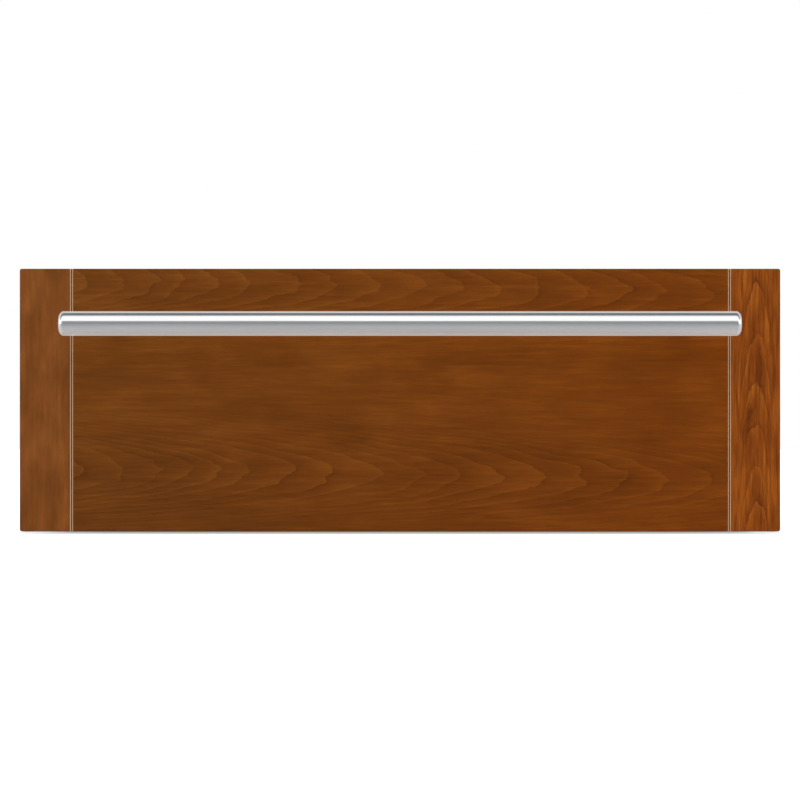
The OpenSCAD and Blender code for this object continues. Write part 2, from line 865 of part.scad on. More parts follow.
module c_outline(from, to, half, wall, open_to_drawer) {
    difference() {
        translate([from, -half]) square([to - from, 2 * half]);
        translate([open_to_drawer ? from + wall : from - wall, wall - half])
            square([to - from, 2 * (half - wall)]);
    }
}

module ball_grooves(across, row)
    for (z = [-1, 1]) translate([across, z * row]) circle(ball_d / 2 + slip);

module rail_body(side) along_y(rail_y, rail_y + rail_len) rail_outline(side) children();

// Oval holes along the middle of a rail's web, as (place, share of the length)
module web_slots(side, at)
    for (part = rail_slots)
        on_side(side) translate([cavity_w / 2 - at, rail_y + part * rail_len, rail_z])
            along_x(-rail_wall, rail_wall) slot(rail_slot_l, rail_slot_w);

module at_rail_screws()
    for (side = [-1, 1], part = rail_holes)
        translate([side * (cavity_w / 2 - rail_wall), rail_y + part * rail_len, rail_z])
            rotate([0, side * 90, 0]) children();

module outer_rail(side) {
    color("#a6a9ac") difference() {
        rail_body(side) difference() {
            c_outline(0, lip_a, outer_half, rail_wall, true);
            ball_grooves(ball_a, row_a);
        }
        at_rail_screws() flat_screw(rail_wall + 1, slip);
        web_slots(side, rail_wall / 2);
    }
}

module middle_rail(side) {
    color("#a0a3a6") difference() {
        rail_body(side) difference() {
            c_outline(middle_a, lip_a, middle_half, rail_wall, true);
            ball_grooves(ball_a, row_a);
            ball_grooves(ball_b, row_b);
        }
        web_slots(side, middle_a + rail_wall / 2);
    }
}

module inner_rail(side) {
    color("#a9acaf") difference() {
        rail_body(side) difference() {
            c_outline(inner_a, rail_t, inner_half, rail_wall, false);
            ball_grooves(ball_b, row_b);
        }
        at_inner_rail_screws() screw_hole(rail_wall + 1);
        web_slots(side, rail_t - rail_wall / 2);
    }
}

module at_balls(across, row)
    both_sides() for (z = [-1, 1], i = [0:row_balls - 1])
        translate([cavity_w / 2 - across, cage_y + (i + 0.5) * ball_pitch, rail_z + z * row]) children();

module ball_cages(from, across, row) {
    arm = across + ball_d / 2 + cage_edge - from;
    color("#d8d3c4") difference() {
        both_sides() along_y(cage_y, cage_y + cage_len) rail_outline(1) {
            translate([from, -row]) square([cage_t, 2 * row]);
            for (z = [-1, 1]) translate([from, z * row - cage_t / 2]) square([arm, cage_t]);
        }
        at_balls(across, row) cylinder(h = 2 * cage_t, d = ball_d + 2 * slip, center = true);
        both_sides() for (part = [0.2, 0.5, 0.8])
            translate([cavity_w / 2 - from - cage_t / 2, cage_y + part * cage_len, rail_z])
                along_x(-cage_t, cage_t) slot(cage_len / 5, row);
    }
}

module outer_ball_cages() ball_cages(cage_a, ball_a, row_a);
module inner_ball_cages() ball_cages(cage_b, ball_b, row_b);
module outer_balls() color("#dfe1e3") at_balls(ball_a, row_a) sphere(d = ball_d);
module inner_balls() color("#dfe1e3") at_balls(ball_b, row_b) sphere(d = ball_d);

module rail_screws()
    color("#c9a24a") at_rail_screws() flat_screw(rail_wall + liner_t + support_t);

// Steel strips outside the cavity that the rail screws bite into
module rail_supports() {
    x = liner_w / 2;
    color("#9aa0a3") difference() {
        both_sides() box([x, rail_y, rail_z - support_h / 2],
            [x + support_t, rail_y + rail_len, rail_z + support_h / 2]);
        at_rail_screws() screw_hole(rail_wall + liner_t + support_t + 1);
    }
}

// ---------------------------------------------------------------- cabinet

module at_side_screws()
    for (side = [-1, 1], y = side_screw_y, z = edge_screw_z)
        translate([side * case_w / 2, y, z]) rotate([0, -side * 90, 0]) children();

module at_back_screws()
    for (x = [-0.36, 0, 0.36], z = edge_screw_z)
        translate([x * case_w, back_y, z]) rotate([90, 0, 0]) children();

module at_frame_screws()
    for (side = [-1, 1], z = frame_screw_z)
        translate([side * (case_w - fold_w) / 2, case_y, z]) rotate([-90, 0, 0]) children();

module at_fixings()
    for (side = [-1, 1], part = [-1, 1])
        translate([side * fixing_x, case_y, (case_z0 + case_z1) / 2 + part * fixing_pitch / 2])
            rotate([-90, 0, 0]) children();

module at_feet()
    for (side = [-1, 1], y = [foot_y0, foot_y1]) translate([side * foot_x, y, case_z0]) children();

module front_frame() {
    color("#c0c2c4") difference() {
        translate([0, 0, (case_z0 + case_z1) / 2]) along_y(case_y, frame_y)
            rounded(case_w + 2 * frame_side, case_h + 2 * frame_rise, 4);
        translate([0, 0, cavity_mid]) along_y(case_y - 1, frame_y + 1) rounded(cavity_w, cavity_h, liner_r);
        at_fixings() cylinder(h = 4 * frame_t, r = fixing_r, center = true);
        at_frame_screws() screw_hole(frame_t + 1);
        translate([control_x, 0, knob_z]) rod_y(case_y - 1, frame_y + 1, collar_d + 2 * slip);
        translate([control_x, 0, lamp_z]) rod_y(case_y - 1, frame_y + 1, lamp_d + 2 * slip);
    }
}

module cavity_liner() {
    color("#b8babc") difference() {
        translate([0, 0, cavity_mid]) {
            along_y(frame_y, liner_y) rounded(liner_w, liner_h, liner_r + liner_t);
            along_y(frame_y, frame_y + liner_t)
                rounded(cavity_w + 2 * liner_flange, cavity_h + 2 * liner_flange, liner_r);
        }
        translate([0, 0, cavity_mid])
            along_y(frame_y - 1, cavity_end) rounded(cavity_w, cavity_h, liner_r);
        at_rail_screws() screw_hole(rail_wall + liner_t + 1);
        at_heater_ends() rod_y(cavity_end - 1, liner_y + 1, sleeve_d + 2 * slip);
        translate([probe_x, 0, probe_z]) rod_y(cavity_end - 1, liner_y + 1, probe_d + 2 * slip);
    }
}

// A folded channel that carries the rear of the cavity on the base
module liner_support() {
    t = channel_t;
    half = cavity_w / 3;
    color("#9da1a4") along_x(-half, half)
        translate([liner_y - channel_gap - channel_w, floor_z]) difference() {
            square([channel_w, wool_space]);
            translate([t, 0]) square([channel_w - 2 * t, wool_space - t]);
        }
}

module wool_top() {
    color("#e6dcb6") box([-liner_w / 2, frame_y + liner_t + play, liner_z1 + play],
        [liner_w / 2, liner_y, roof_z - play]);
}

module wool_bottom() {
    color("#e6dcb6") box([-liner_w / 2, frame_y + liner_t + play, floor_z + play],
        [liner_w / 2, liner_y - channel_gap - channel_w - 2, liner_z0 - play]);
}

module wool_sides() {
    x = liner_w / 2 + support_t + play;
    color("#e6dcb6") both_sides()
        box([x, frame_y + control_l + 20, liner_z0], [x + wool_side_t, liner_y, liner_z1]);
}

module wool_rear() {
    half = liner_w / 2 + wool_side_t;
    y0 = liner_y + play;
    y1 = liner_y + wool_rear_t;
    color("#e6dcb6") difference() {
        box([-half, y0, liner_z0], [half, y1, liner_z1]);
        box([-terminal_x - wool_hole_d / 2, y0 - 1, liner_z0 - 1],
            [terminal_x + wool_hole_d / 2, y1 + 1, tube_z + wool_hole_d / 2]);
        for (at = [[probe_x, probe_z - 6], [stat_x, cavity_mid]])
            translate([at.x, 0, at.y]) rod_y(y0 - 1, y1 + 1, wool_hole_d);
    }
}

module base_pan() {
    half = inside_w / 2;
    top = floor_z + fold_w;
    rear = back_y - case_sheet;
    fold_y = frame_y + fold_w;
    color("#a8adb0") difference() {
        union() {
            box([-half, frame_y, case_z0], [half, case_end, floor_z]);
            both_sides() box([half - case_sheet, fold_y, case_z0], [half, rear - fold_w, top]);
            box([fold_w - half, rear - case_sheet, case_z0], [half - fold_w, rear, top]);
        }
        at_side_screws() screw_hole(2 * case_sheet + 1);
        at_back_screws() screw_hole(2 * case_sheet + 1);
        at_feet() screw_hole(case_sheet + 1);
        for (i = [-5:5]) translate([i * base_vent[0] + base_vent_x, back_y - base_vent[3], 0])
            along_z(case_z0 - 1, floor_z + 1) rotate(90) slot(base_vent[1], base_vent[2]);
    }
}

module side_panel(side) {
    half = case_w / 2;
    rear = back_y - case_sheet;
    color("#b1b5b8") difference() {
        on_side(side) {
            box([half - case_sheet, frame_y, case_z0], [half, case_end, roof_z]);
            for (z = [floor_z, roof_z - tab_h])
                box([half - fold_w, frame_y, z], [half, frame_y + case_sheet, z + tab_h]);
            box([half - fold_w, rear - case_sheet, floor_z], [half, rear, roof_z]);
        }
        at_side_screws() screw_hole(case_sheet + 0.5);
        at_frame_screws() screw_hole(frame_t + case_sheet + 1);
    }
}

module top_cover() {
    half = inside_w / 2;
    low = roof_z - fold_w;
    rear = back_y - case_sheet;
    fold_y = frame_y + fold_w;
    color("#b1b5b8") difference() {
        union() {
            box([-case_w / 2, frame_y, roof_z], [case_w / 2, case_end, case_z1]);
            both_sides() box([half - case_sheet, fold_y, low], [half, rear - fold_w, case_z1]);
            box([fold_w - half, rear - case_sheet, low], [half - fold_w, rear, case_z1]);
        }
        at_side_screws() screw_hole(2 * case_sheet + 1);
        at_back_screws() screw_hole(2 * case_sheet + 1);
        for (i = [-8:8]) translate([i * top_vent[0], back_y - top_vent[3], 0])
            along_z(roof_z - 1, case_z1 + 1) rotate(90) slot(top_vent[1], top_vent[2]);
    }
}

module back_panel() {
    half = inside_w / 2;
    color("#b1b5b8") difference() {
        box([-half, back_y - case_sheet, floor_z], [half, back_y, roof_z]);
        at_back_screws() screw_hole(case_sheet + 0.5);
        for (i = [-7:7], row = [0, 1])
            translate([i * back_vent[0] + back_vent_x, 0, roof_z - back_vent[3] - row * back_vent_rows])
                along_y(back_y - case_sheet - 1, back_y + 1) rotate(90) slot(back_vent[1], back_vent[2]);
        translate([cord_x, 0, cord_z]) rod_y(back_y - case_sheet - 1, back_y + 1, cord_hole_d + 2 * slip);
    }
}

module casing_screws() {
    color("#8c9093") {
        at_side_screws() screw(casing_screw_l);
        at_back_screws() screw(casing_screw_l);
        at_frame_screws() screw(casing_screw_l);
    }
}

module rubber_feet() {
    color("#2b2c2e") at_feet() difference() {
        translate([0, 0, -foot_h]) cylinder(h = foot_h, d1 = foot_d - foot_taper, d2 = foot_d);
        translate([0, 0, -foot_h - 1])
            cylinder(h = foot_h - foot_floor + 1, d = screw_head_d + 3);
        screw_hole(foot_h + 1);
    }
}

module foot_screws() {
    color("#8c9093") at_feet() translate([0, 0, -foot_floor]) screw(foot_floor + case_sheet + 3);
}

// ---------------------------------------------------------------- heater

module at_heater_ends()
    for (side = [-1, 1]) translate([side * terminal_x, 0, tube_z]) children();

// One tube from terminal to terminal: rear run, outer leg, front run, inner leg and the bow
module heating_element() {
    half = [
        [terminal_x, tube_end, tube_z], [terminal_x, heater_y1, tube_z],
        [outer_leg, heater_y1, tube_z], [outer_leg, heater_y0, tube_z],
        [inner_leg, heater_y0, tube_z], [inner_leg, heater_bow_y, tube_z]
    ];
    turns = [tube_bend, tube_bend, tube_bend, tube_bend, bow_bend];
    last = len(half) - 1;
    points = [for (p = half) p, for (i = [0:last]) [-half[last - i].x, half[last - i].y, tube_z]];
    color("#6d6f72") {
        tube_route(points, [for (r = turns) r, for (i = [1:last]) turns[last - i]], tube_d);
        at_heater_ends() rod_y(tube_end, tube_end + pin_l, pin_d);
    }
}

// Threaded sleeves that carry the heater's ends through the rear of the cavity
module element_bushings() {
    color("#b08d4a") at_heater_ends() difference() {
        union() {
            rod_y(cavity_end, liner_y + sleeve_out, sleeve_d);
            rod_y(cavity_end - sleeve_head_t, cavity_end, sleeve_d + sleeve_head);
            rod_y(liner_y, liner_y + sleeve_nut_t, sleeve_d + sleeve_head);
        }
        rod_y(cavity_end - sleeve_head_t - 1, liner_y + sleeve_out + 1, tube_d + 2 * slip);
    }
}

module element_clips() {
    high = tube_lift + tube_d / 2 + clip_top;
    color("#a3a6a8") for (x = [-outer_leg, -inner_leg, inner_leg, outer_leg])
        translate([x, clip_y, cavity_z0]) difference() {
            union() {
                box([-clip_w / 2, 0, 0], [clip_w / 2, clip_t, high]);
                box([-clip_w / 2, 0, 0], [clip_w / 2, clip_foot, clip_t]);
            }
            translate([0, 0, tube_lift]) rod_y(-1, clip_t + 1, tube_d + 2 * slip);
        }
}

module temperature_probe() {
    color("#cfd1d2") translate([probe_x, 0, probe_z]) {
        rod_y(cavity_end - probe_l, liner_y, probe_d);
        rod_y(liner_y, liner_y + 2, probe_d + 7);
        rod_y(liner_y + 2, liner_y + probe_tail, probe_d + 1);
    }
}

module limit_thermostat() {
    color("#3d3f42") translate([stat_x, 0, cavity_mid]) {
        along_y(liner_y, liner_y + 1.2) slot(stat_d + 12, 11);
        rod_y(liner_y, liner_y + spade_end / 2, stat_d);
        for (x = [-spade_x, spade_x])
            box([x - 0.4, liner_y + spade_end / 2, -3], [x + 0.4, liner_y + spade_end, 3]);
    }
}

// ---------------------------------------------------------------- electrical parts

module terminal_block() {
    low = tube_z - term_h / 2;
    color("#e9e4d6") difference() {
        box([term_x - term_w / 2, term_y, low], [term_x + term_w / 2, term_y + term_l, low + term_h]);
        for (i = [-1, 0, 1])
            translate([term_x + i * term_pitch, term_y + term_l / 2, low + term_h - term_hole_l])
                cylinder(h = term_hole_l + 1, d = term_hole_d);
        for (i = [-0.5, 0.5])
            translate([term_x + i * term_pitch - term_slit / 2, term_y - 1, low + term_hole_l])
                cube([term_slit, term_l + 2, term_h]);
    }
}

module terminal_bracket() {
    t = 1.5;
    x0 = term_x - term_w / 2;
    x1 = term_x + term_w / 2;
    high = tube_z - term_h / 2;
    color("#9da1a4") {
        box([x0, term_y, high - t], [x1, term_y + term_l, high]);
        for (x = [x0, x1 - t]) box([x, term_y, floor_z], [x + t, term_y + term_l, high]);
    }
}

// Leads from the heater, the limiter and the probe to the terminal block, and the loom that
// runs from the block to the right side, forward, and up to the heat control
module wiring() {
    back = term_y + term_l / 2;
    pin_y = tube_end + pin_l;
    spade_y = liner_y + spade_end;
    entry_z = tube_z + term_h / 2 - term_hole_l;
    front = frame_y + control_l / 2;
    color("#b7342c") {
        lead_route([[terminal_x, pin_y, tube_z], [terminal_x, back, tube_z],
            [term_x - term_w / 2, back, tube_z]], lead_bend, lead_d);
        lead_route([[-terminal_x, pin_y, tube_z], [-terminal_x, back, tube_z],
            [stat_x + spade_x, back, tube_z], [stat_x + spade_x, back, cavity_mid],
            [stat_x + spade_x, spade_y, cavity_mid]], lead_bend, lead_d);
        lead_route([[stat_x - spade_x, spade_y, cavity_mid], [stat_x - spade_x, back, cavity_mid],
            [stat_x - spade_x, back, cavity_mid + 2 * lead_bend + lead_d],
            [term_x - term_pitch, back, cavity_mid + 2 * lead_bend + lead_d],
            [term_x - term_pitch, back, entry_z]], lead_bend, lead_d);
        lead_route([[probe_x, liner_y + probe_tail, probe_z], [probe_x, back, probe_z],
            [term_x, back, probe_z], [term_x, back, entry_z]], lead_bend, lead_d);
    }
    color("#d8d8d2") lead_route([[term_x + term_w / 2, back, tube_z], [loom_x, back, tube_z],
        [loom_x, front, tube_z], [loom_x, front, knob_z - control_h / 2]], loom_bend, loom_d);
}

module cord_bushing() {
    color("#26272a") translate([cord_x, 0, cord_z]) difference() {
        union() {
            rod_y(back_y - case_sheet - 8, back_y, cord_hole_d);
            rod_y(back_y, back_y + 2.5, bushing_d);
            rod_y(back_y - case_sheet - 3, back_y - case_sheet, bushing_d);
        }
        rod_y(back_y - case_sheet - 9, back_y + 3, cord_d);
    }
}

// ---------------------------------------------------------------- controls

module at_control() translate([control_x, 0, knob_z]) children();

module heat_control() {
    color("#d9d6cb") at_control() {
        difference() {
            union() {
                box([-control_w / 2, frame_y, -control_h / 2], [control_w / 2, frame_y + control_l, control_h / 2]);
                rod_y(case_y - dial_t - nut_t - 1, frame_y, collar_d);
            }
            rod_y(case_y - dial_t - nut_t - 2, frame_y + shaft_in + 1, shaft_d + 2 * slip);
        }
        difference() {
            translate([0, case_y - dial_t - nut_t, 0]) rotate([-90, 0, 0])
                cylinder(h = nut_t, d = nut_d, $fn = 6);
            rod_y(case_y - dial_t - nut_t - 1, case_y, collar_d + 2 * slip);
        }
    }
}

module control_shaft() {
    start = case_y - dial_t - knob_gap - knob_l + 3;
    color("#bfc1c3") at_control() rod_y(start, frame_y + shaft_in, shaft_d);
}

module control_knob() {
    rear = case_y - dial_t - knob_gap;
    front = rear - knob_l;
    grip_d = knob_d - 5;
    skirt = 5;
    color("#26272a") at_control() difference() {
        union() {
            rod_y(rear - skirt, rear, knob_d);
            rod_y(front + 1.5, rear, grip_d);
            rod_y(front, front + 1.5, grip_d - 2);
            for (a = [0:20:340]) rotate([0, a, 0])
                translate([grip_d / 2, 0, 0]) rod_y(front + 1.5, rear, 1.8);
        }
        rod_y(rear - nut_t - 1.5, rear + 1, nut_d + 1.5);
        rod_y(front + 3, rear, shaft_d + 2 * slip);
        box([-0.6, front - 1, grip_d / 2 - 6], [0.6, front + 0.6, grip_d / 2 + 1]);
    }
}

module dial_plate() {
    low = knob_z - lamp_drop - dial_below;
    high = knob_z + dial_top;
    color("#d3d5d6") difference() {
        translate([control_x, 0, (low + high) / 2])
            along_y(case_y - dial_t, case_y) rounded(dial_w, high - low, 4);
        at_control() rod_y(case_y - dial_t - 1, case_y + 1, collar_d + 2 * slip);
        translate([control_x, 0, lamp_z]) rod_y(case_y - dial_t - 1, case_y + 1, lamp_d + 2 * slip);
    }
}

module pilot_lamp() {
    front = case_y - dial_t;
    color("#c2501c") translate([control_x, 0, lamp_z]) {
        rod_y(front, frame_y + lamp_l, lamp_d);
        translate([0, front, 0]) rotate([90, 0, 0]) dome(lamp_d + 3, lamp_dome);
    }
}

// ---------------------------------------------------------------- nodes

panel_field();
panel_stile(-1);  // panel_stile_left
panel_stile(1);  // panel_stile_right
handle_bar();
handle_caps();
handle_posts();
handle_bolts();
front_plate();
panel_screws();
front_wool();
inner_front();
door_seal();
drawer_pan();
drawer_bracket(-1);  // drawer_bracket_left
drawer_bracket(1);  // drawer_bracket_right
drawer_screws();
vent_guide();
vent_strip();
inner_rail(-1);  // inner_rail_left
inner_rail(1);  // inner_rail_right
inner_ball_cages();
inner_balls();
middle_rail(-1);  // middle_rail_left
middle_rail(1);  // middle_rail_right
outer_ball_cages();
outer_balls();
outer_rail(-1);  // outer_rail_left
outer_rail(1);  // outer_rail_right
rail_screws();
rail_supports();
front_frame();
cavity_liner();
liner_support();
wool_top();
wool_bottom();
wool_sides();
wool_rear();
base_pan();
side_panel(-1);  // side_panel_left
side_panel(1);  // side_panel_right
top_cover();
back_panel();
casing_screws();
rubber_feet();
foot_screws();
heating_element();
element_bushings();
element_clips();
temperature_probe();
limit_thermostat();
terminal_block();
terminal_bracket();
wiring();
cord_bushing();
heat_control();
control_shaft();
control_knob();
dial_plate();
pilot_lamp();
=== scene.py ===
"""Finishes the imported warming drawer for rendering: cherry boards, a tubular steel handle, the
sheet-metal cabinet and everything inside it. Metres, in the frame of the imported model: X runs
along the front, Y to the back, Z up."""
import json
from math import cos, pi, radians, sin

import bmesh
import bpy
from bpy.props import FloatProperty, FloatVectorProperty, IntProperty, PointerProperty
from mathutils import Matrix, Vector


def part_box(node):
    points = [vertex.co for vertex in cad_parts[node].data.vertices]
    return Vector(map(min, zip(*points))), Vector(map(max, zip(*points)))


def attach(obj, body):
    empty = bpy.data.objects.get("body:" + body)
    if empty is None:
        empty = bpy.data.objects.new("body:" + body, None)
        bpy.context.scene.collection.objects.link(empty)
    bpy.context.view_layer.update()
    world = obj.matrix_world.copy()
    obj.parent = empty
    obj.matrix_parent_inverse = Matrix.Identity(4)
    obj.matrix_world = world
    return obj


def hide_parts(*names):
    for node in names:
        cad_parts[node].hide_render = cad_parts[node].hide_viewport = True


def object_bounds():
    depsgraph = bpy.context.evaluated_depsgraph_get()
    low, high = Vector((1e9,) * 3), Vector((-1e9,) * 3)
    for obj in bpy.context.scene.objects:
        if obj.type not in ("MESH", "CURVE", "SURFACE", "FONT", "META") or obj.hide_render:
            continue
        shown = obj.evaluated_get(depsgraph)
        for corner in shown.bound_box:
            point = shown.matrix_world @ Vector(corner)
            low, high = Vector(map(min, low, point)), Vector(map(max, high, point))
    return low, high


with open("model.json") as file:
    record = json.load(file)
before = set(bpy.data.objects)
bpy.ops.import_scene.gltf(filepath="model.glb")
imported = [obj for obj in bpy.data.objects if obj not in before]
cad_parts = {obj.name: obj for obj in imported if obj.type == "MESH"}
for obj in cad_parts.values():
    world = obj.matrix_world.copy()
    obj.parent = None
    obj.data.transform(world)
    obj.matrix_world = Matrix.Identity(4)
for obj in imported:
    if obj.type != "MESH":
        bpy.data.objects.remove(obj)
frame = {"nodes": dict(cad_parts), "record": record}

bl_info = {
    "name": "Warming drawer finish",
    "version": (1, 0, 0),
    "blender": (4, 5, 0),
    "location": "3D View > Sidebar > Drawer",
    "description": "Materials, rounded edges, fasteners and studio for a built-in warming drawer",
    "category": "Object",
}

CAD_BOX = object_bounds()
NODES = frame["nodes"]
BODIES = frame["record"]["behaviour"]["bodies"]
BODY_OF = {name: body for body, names in BODIES.items() for name in names}
SLOT_OF = {part["node"]: part["material_slot"] for part in frame["record"]["subparts"]}

MM = 0.001
MATH = "ShaderNodeMath"
NOISE = "ShaderNodeTexNoise"
RAMP = "ShaderNodeMapRange"
MIX = "ShaderNodeMix"
# Makes a Mix node blend the colours in its inputs 6 and 7 by the factor in 0
COLOURS = {"out": 2, "data_type": "RGBA"}
# What most noise stays between
NOISE_LOW, NOISE_HIGH = 0.3, 0.7

FIELD_LOW, FIELD_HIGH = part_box("panel_field")
LEFT_LOW, LEFT_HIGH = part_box("panel_stile_left")
RIGHT_LOW, RIGHT_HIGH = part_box("panel_stile_right")
BAR_LOW, BAR_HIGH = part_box("handle_bar")
CAPS_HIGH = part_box("handle_caps")[1]
POSTS_LOW, POSTS_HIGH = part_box("handle_posts")
DIAL_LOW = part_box("dial_plate")[0]
KNOB_LOW, KNOB_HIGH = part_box("control_knob")
FACE_Y = FIELD_LOW.y
PANEL_MID = (FIELD_LOW.z + FIELD_HIGH.z) / 2
JOINT_GAP = 1.0 * MM
# Half the distance between the two open joints, and how far right of the middle both lie
JOINT_X = RIGHT_LOW.x - JOINT_GAP / 2
JOINT_SHIFT = 0.5 * MM
# Corners of a mesh closer than this are the same one, and edges bent more than this are sharp
SAME = 1e-6
SHARP_ANGLE = 35


# ---------------------------------------------------------------- colours and nodes

def linear(hex_colour):
    """An sRGB hex colour as linear red, green, blue and alpha."""
    channels = [int(hex_colour[i:i + 2], 16) / 255 for i in (1, 3, 5)]
    return tuple(c / 12.92 if c <= 0.04045 else ((c + 0.055) / 1.055) ** 2.4
                 for c in channels) + (1.0,)


def put(tree, kind, inputs=None, out=0, **settings):
    """Adds a node with its settings, fills or links its inputs, and returns one output."""
    made = tree.nodes.new(kind)
    for name, value in settings.items():
        setattr(made, name, value)
    for key, value in (inputs or {}).items():
        if isinstance(value, bpy.types.NodeSocket):
            tree.links.new(value, made.inputs[key])
        else:
            made.inputs[key].default_value = value
    return made.outputs[out] if made.outputs else made


def new_material(name, **shader):
    """A material with a Principled shader. Returns it with its tree, shader and coordinates."""
    material = bpy.data.materials.new(name)
    material.use_nodes = True
    tree = material.node_tree
    principled = tree.nodes["Principled BSDF"]
    for key, value in shader.items():
        principled.inputs[key.replace("_", " ")].default_value = value
    place = put(tree, "ShaderNodeTexCoord", out=3)
    return material, tree, principled, place


def finish_material(tree, principled, colour=None, roughness=None, height=None, depth=0.0):
    """Links the colour, the roughness and a bump of that depth in metres to the shader."""
    if colour is not None:
        tree.links.new(colour, principled.inputs["Base Color"])
    if roughness is not None:
        tree.links.new(roughness, principled.inputs["Roughness"])
    if height is not None:
        bump = put(tree, "ShaderNodeBump", {"Height": height, "Distance": depth, "Strength": 1.0})
        tree.links.new(bump, principled.inputs["Normal"])


def evenly(size):
    """Sizes along X, Y and Z, from those three or from one for all."""
    return [size] * 3 if isinstance(size, (int, float)) else list(size)


def stretched_noise(tree, place, cell_mm, detail=2.0, shift=(0.0, 0.0, 0.0)):
    """Noise whose cells have the given size in millimetres, even or along X, Y and Z."""
    cell_mm = evenly(cell_mm)
    scaled = put(tree, "ShaderNodeMapping", {"Vector": place, "Location": shift,
                 "Scale": [1 / (MM * size) for size in cell_mm]})
    return put(tree, NOISE, {"Vector": scaled, "Scale": 1.0, "Detail": detail})


# ---------------------------------------------------------------- wood

def drawn_curve(tree, value, low, high, points, straight=False):
    """A curve drawn through points, from a value between low and high."""
    share = put(tree, RAMP, {0: value, 1: low, 2: high})
    drawn = put(tree, "ShaderNodeFloatCurve", {"Value": share})
    curve = drawn.node.mapping.curves[0]
    places = [((x - low) / (high - low), y) for x, y in points]
    curve.points[0].location, curve.points[1].location = places[0], places[-1]
    for place in places[1:-1]:
        curve.points.new(*place)
    for point in curve.points:
        point.handle_type = "VECTOR" if straight else "AUTO"
    drawn.node.mapping.update()
    return drawn


# An arch is drawn up to 1, which stands for this many millimetres behind a ring's tip
FURTHEST = 1000.0


def nested_arches(tree, sized, along, length, width, hearts, opening):
    """How far behind the tip of its growth ring each point lies, as a share of FURTHEST."""
    # Lying boards have hearts that lean a little, and upright ones wander more
    lean, swing = (0.016, 6.0) if along == 0 else (0.0, 14.0)
    wander = put(tree, MATH, {0: sized((110, 60, 400), 1.0, (2, 5, 1)), 1: swing,
                 2: -swing / 2}, operation="MULTIPLY_ADD")
    half = [(x, y / FURTHEST) for x, y in opening]
    behind = None
    for heart in hearts:
        side = put(tree, MATH, {0: width, 1: heart}, operation="SUBTRACT")
        side = put(tree, MATH, {0: length, 1: lean, 2: side}, operation="MULTIPLY_ADD")
        side = put(tree, MATH, {0: side, 1: wander}, operation="ADD")
        side = put(tree, MATH, {0: side}, operation="ABSOLUTE")
        arch = drawn_curve(tree, side, 0.0, opening[-1][0], half)
        behind = arch if behind is None else put(
            tree, MATH, {0: behind, 1: arch, 2: 0.04}, operation="SMOOTH_MIN")
    return behind


def ragged_tips(tree, sized, behind, length, depth, ragged):
    """Where along the board the tip of each point's ring lies, in millimetres. Also returns the
    fine noise that tears the tips."""
    # A millimetre into the board moves a ring by ring_slope along it, as in flat-sawn boards
    ring_slope, waver = 12.0, 44.0
    tip = put(tree, MATH, {0: behind, 1: FURTHEST, 2: length}, operation="MULTIPLY_ADD")
    tip = put(tree, MATH, {0: depth, 1: ring_slope, 2: tip}, operation="MULTIPLY_ADD")
    slow, quick = sized((60, 40, 16), 1.0), sized((6, 20, 3.4), 2.0, (3, 7, 1))
    for noise, reach in ((slow, waver), (quick, ragged)):
        tip = put(tree, MATH, {0: noise, 1: reach, 2: tip}, operation="MULTIPLY_ADD")
    tip = put(tree, MATH, {0: tip, 1: (waver + ragged) / 2}, operation="SUBTRACT")
    return tip, quick


def ring_marks(tree, sized, tip, behind, tips):
    """The dark lines that the rings end in, and the pale wood just inside them."""
    low, high, count = tips[0][0], tips[-1][0], len(tips) - 1
    rings = drawn_curve(tree, tip, low, high,
                        [(x, i / count) for i, (x, _) in enumerate(tips)], straight=True)
    rings = put(tree, MATH, {0: rings, 1: count}, operation="MULTIPLY")
    bold = drawn_curve(tree, tip, low, high, tips, straight=True)
    phase = put(tree, MATH, {0: rings}, operation="FRACT")
    fresh = put(tree, MATH, {0: 1.0, 1: phase}, operation="SUBTRACT")
    # The higher these powers, the thinner the dark line and the pale edge beside it
    line_power, pale_power = 9.0, 2.5
    line = put(tree, MATH, {0: fresh, 1: line_power}, operation="POWER")
    start = put(tree, RAMP, {0: phase, 1: 0.0, 2: 0.025})
    line = put(tree, MATH, {0: line, 1: start}, operation="MULTIPLY")
    # The lines come and go in patches
    patch = sized((40, 30, 12), 2.0, (9, 2, 5))
    patch = put(tree, RAMP, {0: patch, 1: 0.40, 2: 0.60, 3: 0.12, 4: 1.0})
    # The rings fade into plain straight grain away from the tips, and no two are as strong
    clear = put(tree, RAMP, {0: behind, 1: 0.08, 2: 0.50, 3: 1.0, 4: 0.22})
    ring = put(tree, MATH, {0: rings}, operation="FLOOR")
    each = put(tree, "ShaderNodeTexWhiteNoise", {"W": ring}, noise_dimensions="1D")
    strength = put(tree, RAMP, {0: each, 3: 0.45, 4: 1.0})
    clear = put(tree, MATH, {0: clear, 1: strength}, operation="MULTIPLY")
    for share in (bold, clear, patch):
        line = put(tree, MATH, {0: line, 1: share}, operation="MULTIPLY")
    pale = put(tree, MATH, {0: phase, 1: pale_power}, operation="POWER")
    pale = put(tree, MATH, {0: pale, 1: 0.3}, operation="SUBTRACT")
    pale = put(tree, MATH, {0: pale, 1: clear}, operation="MULTIPLY")
    return line, pale


def tinted(tree, colour, place_x, blush):
    """Tints a colour from one end of the front to the other."""
    reach = put(tree, RAMP, {0: place_x, 1: -JOINT_X / MM, 2: JOINT_X / MM})
    tint = put(tree, MIX, {0: reach, 6: (*blush[0], 1.0), 7: (*blush[1], 1.0)}, **COLOURS)
    return put(tree, MIX, {0: 1.0, 6: colour, 7: tint}, blend_type="MULTIPLY", **COLOURS)


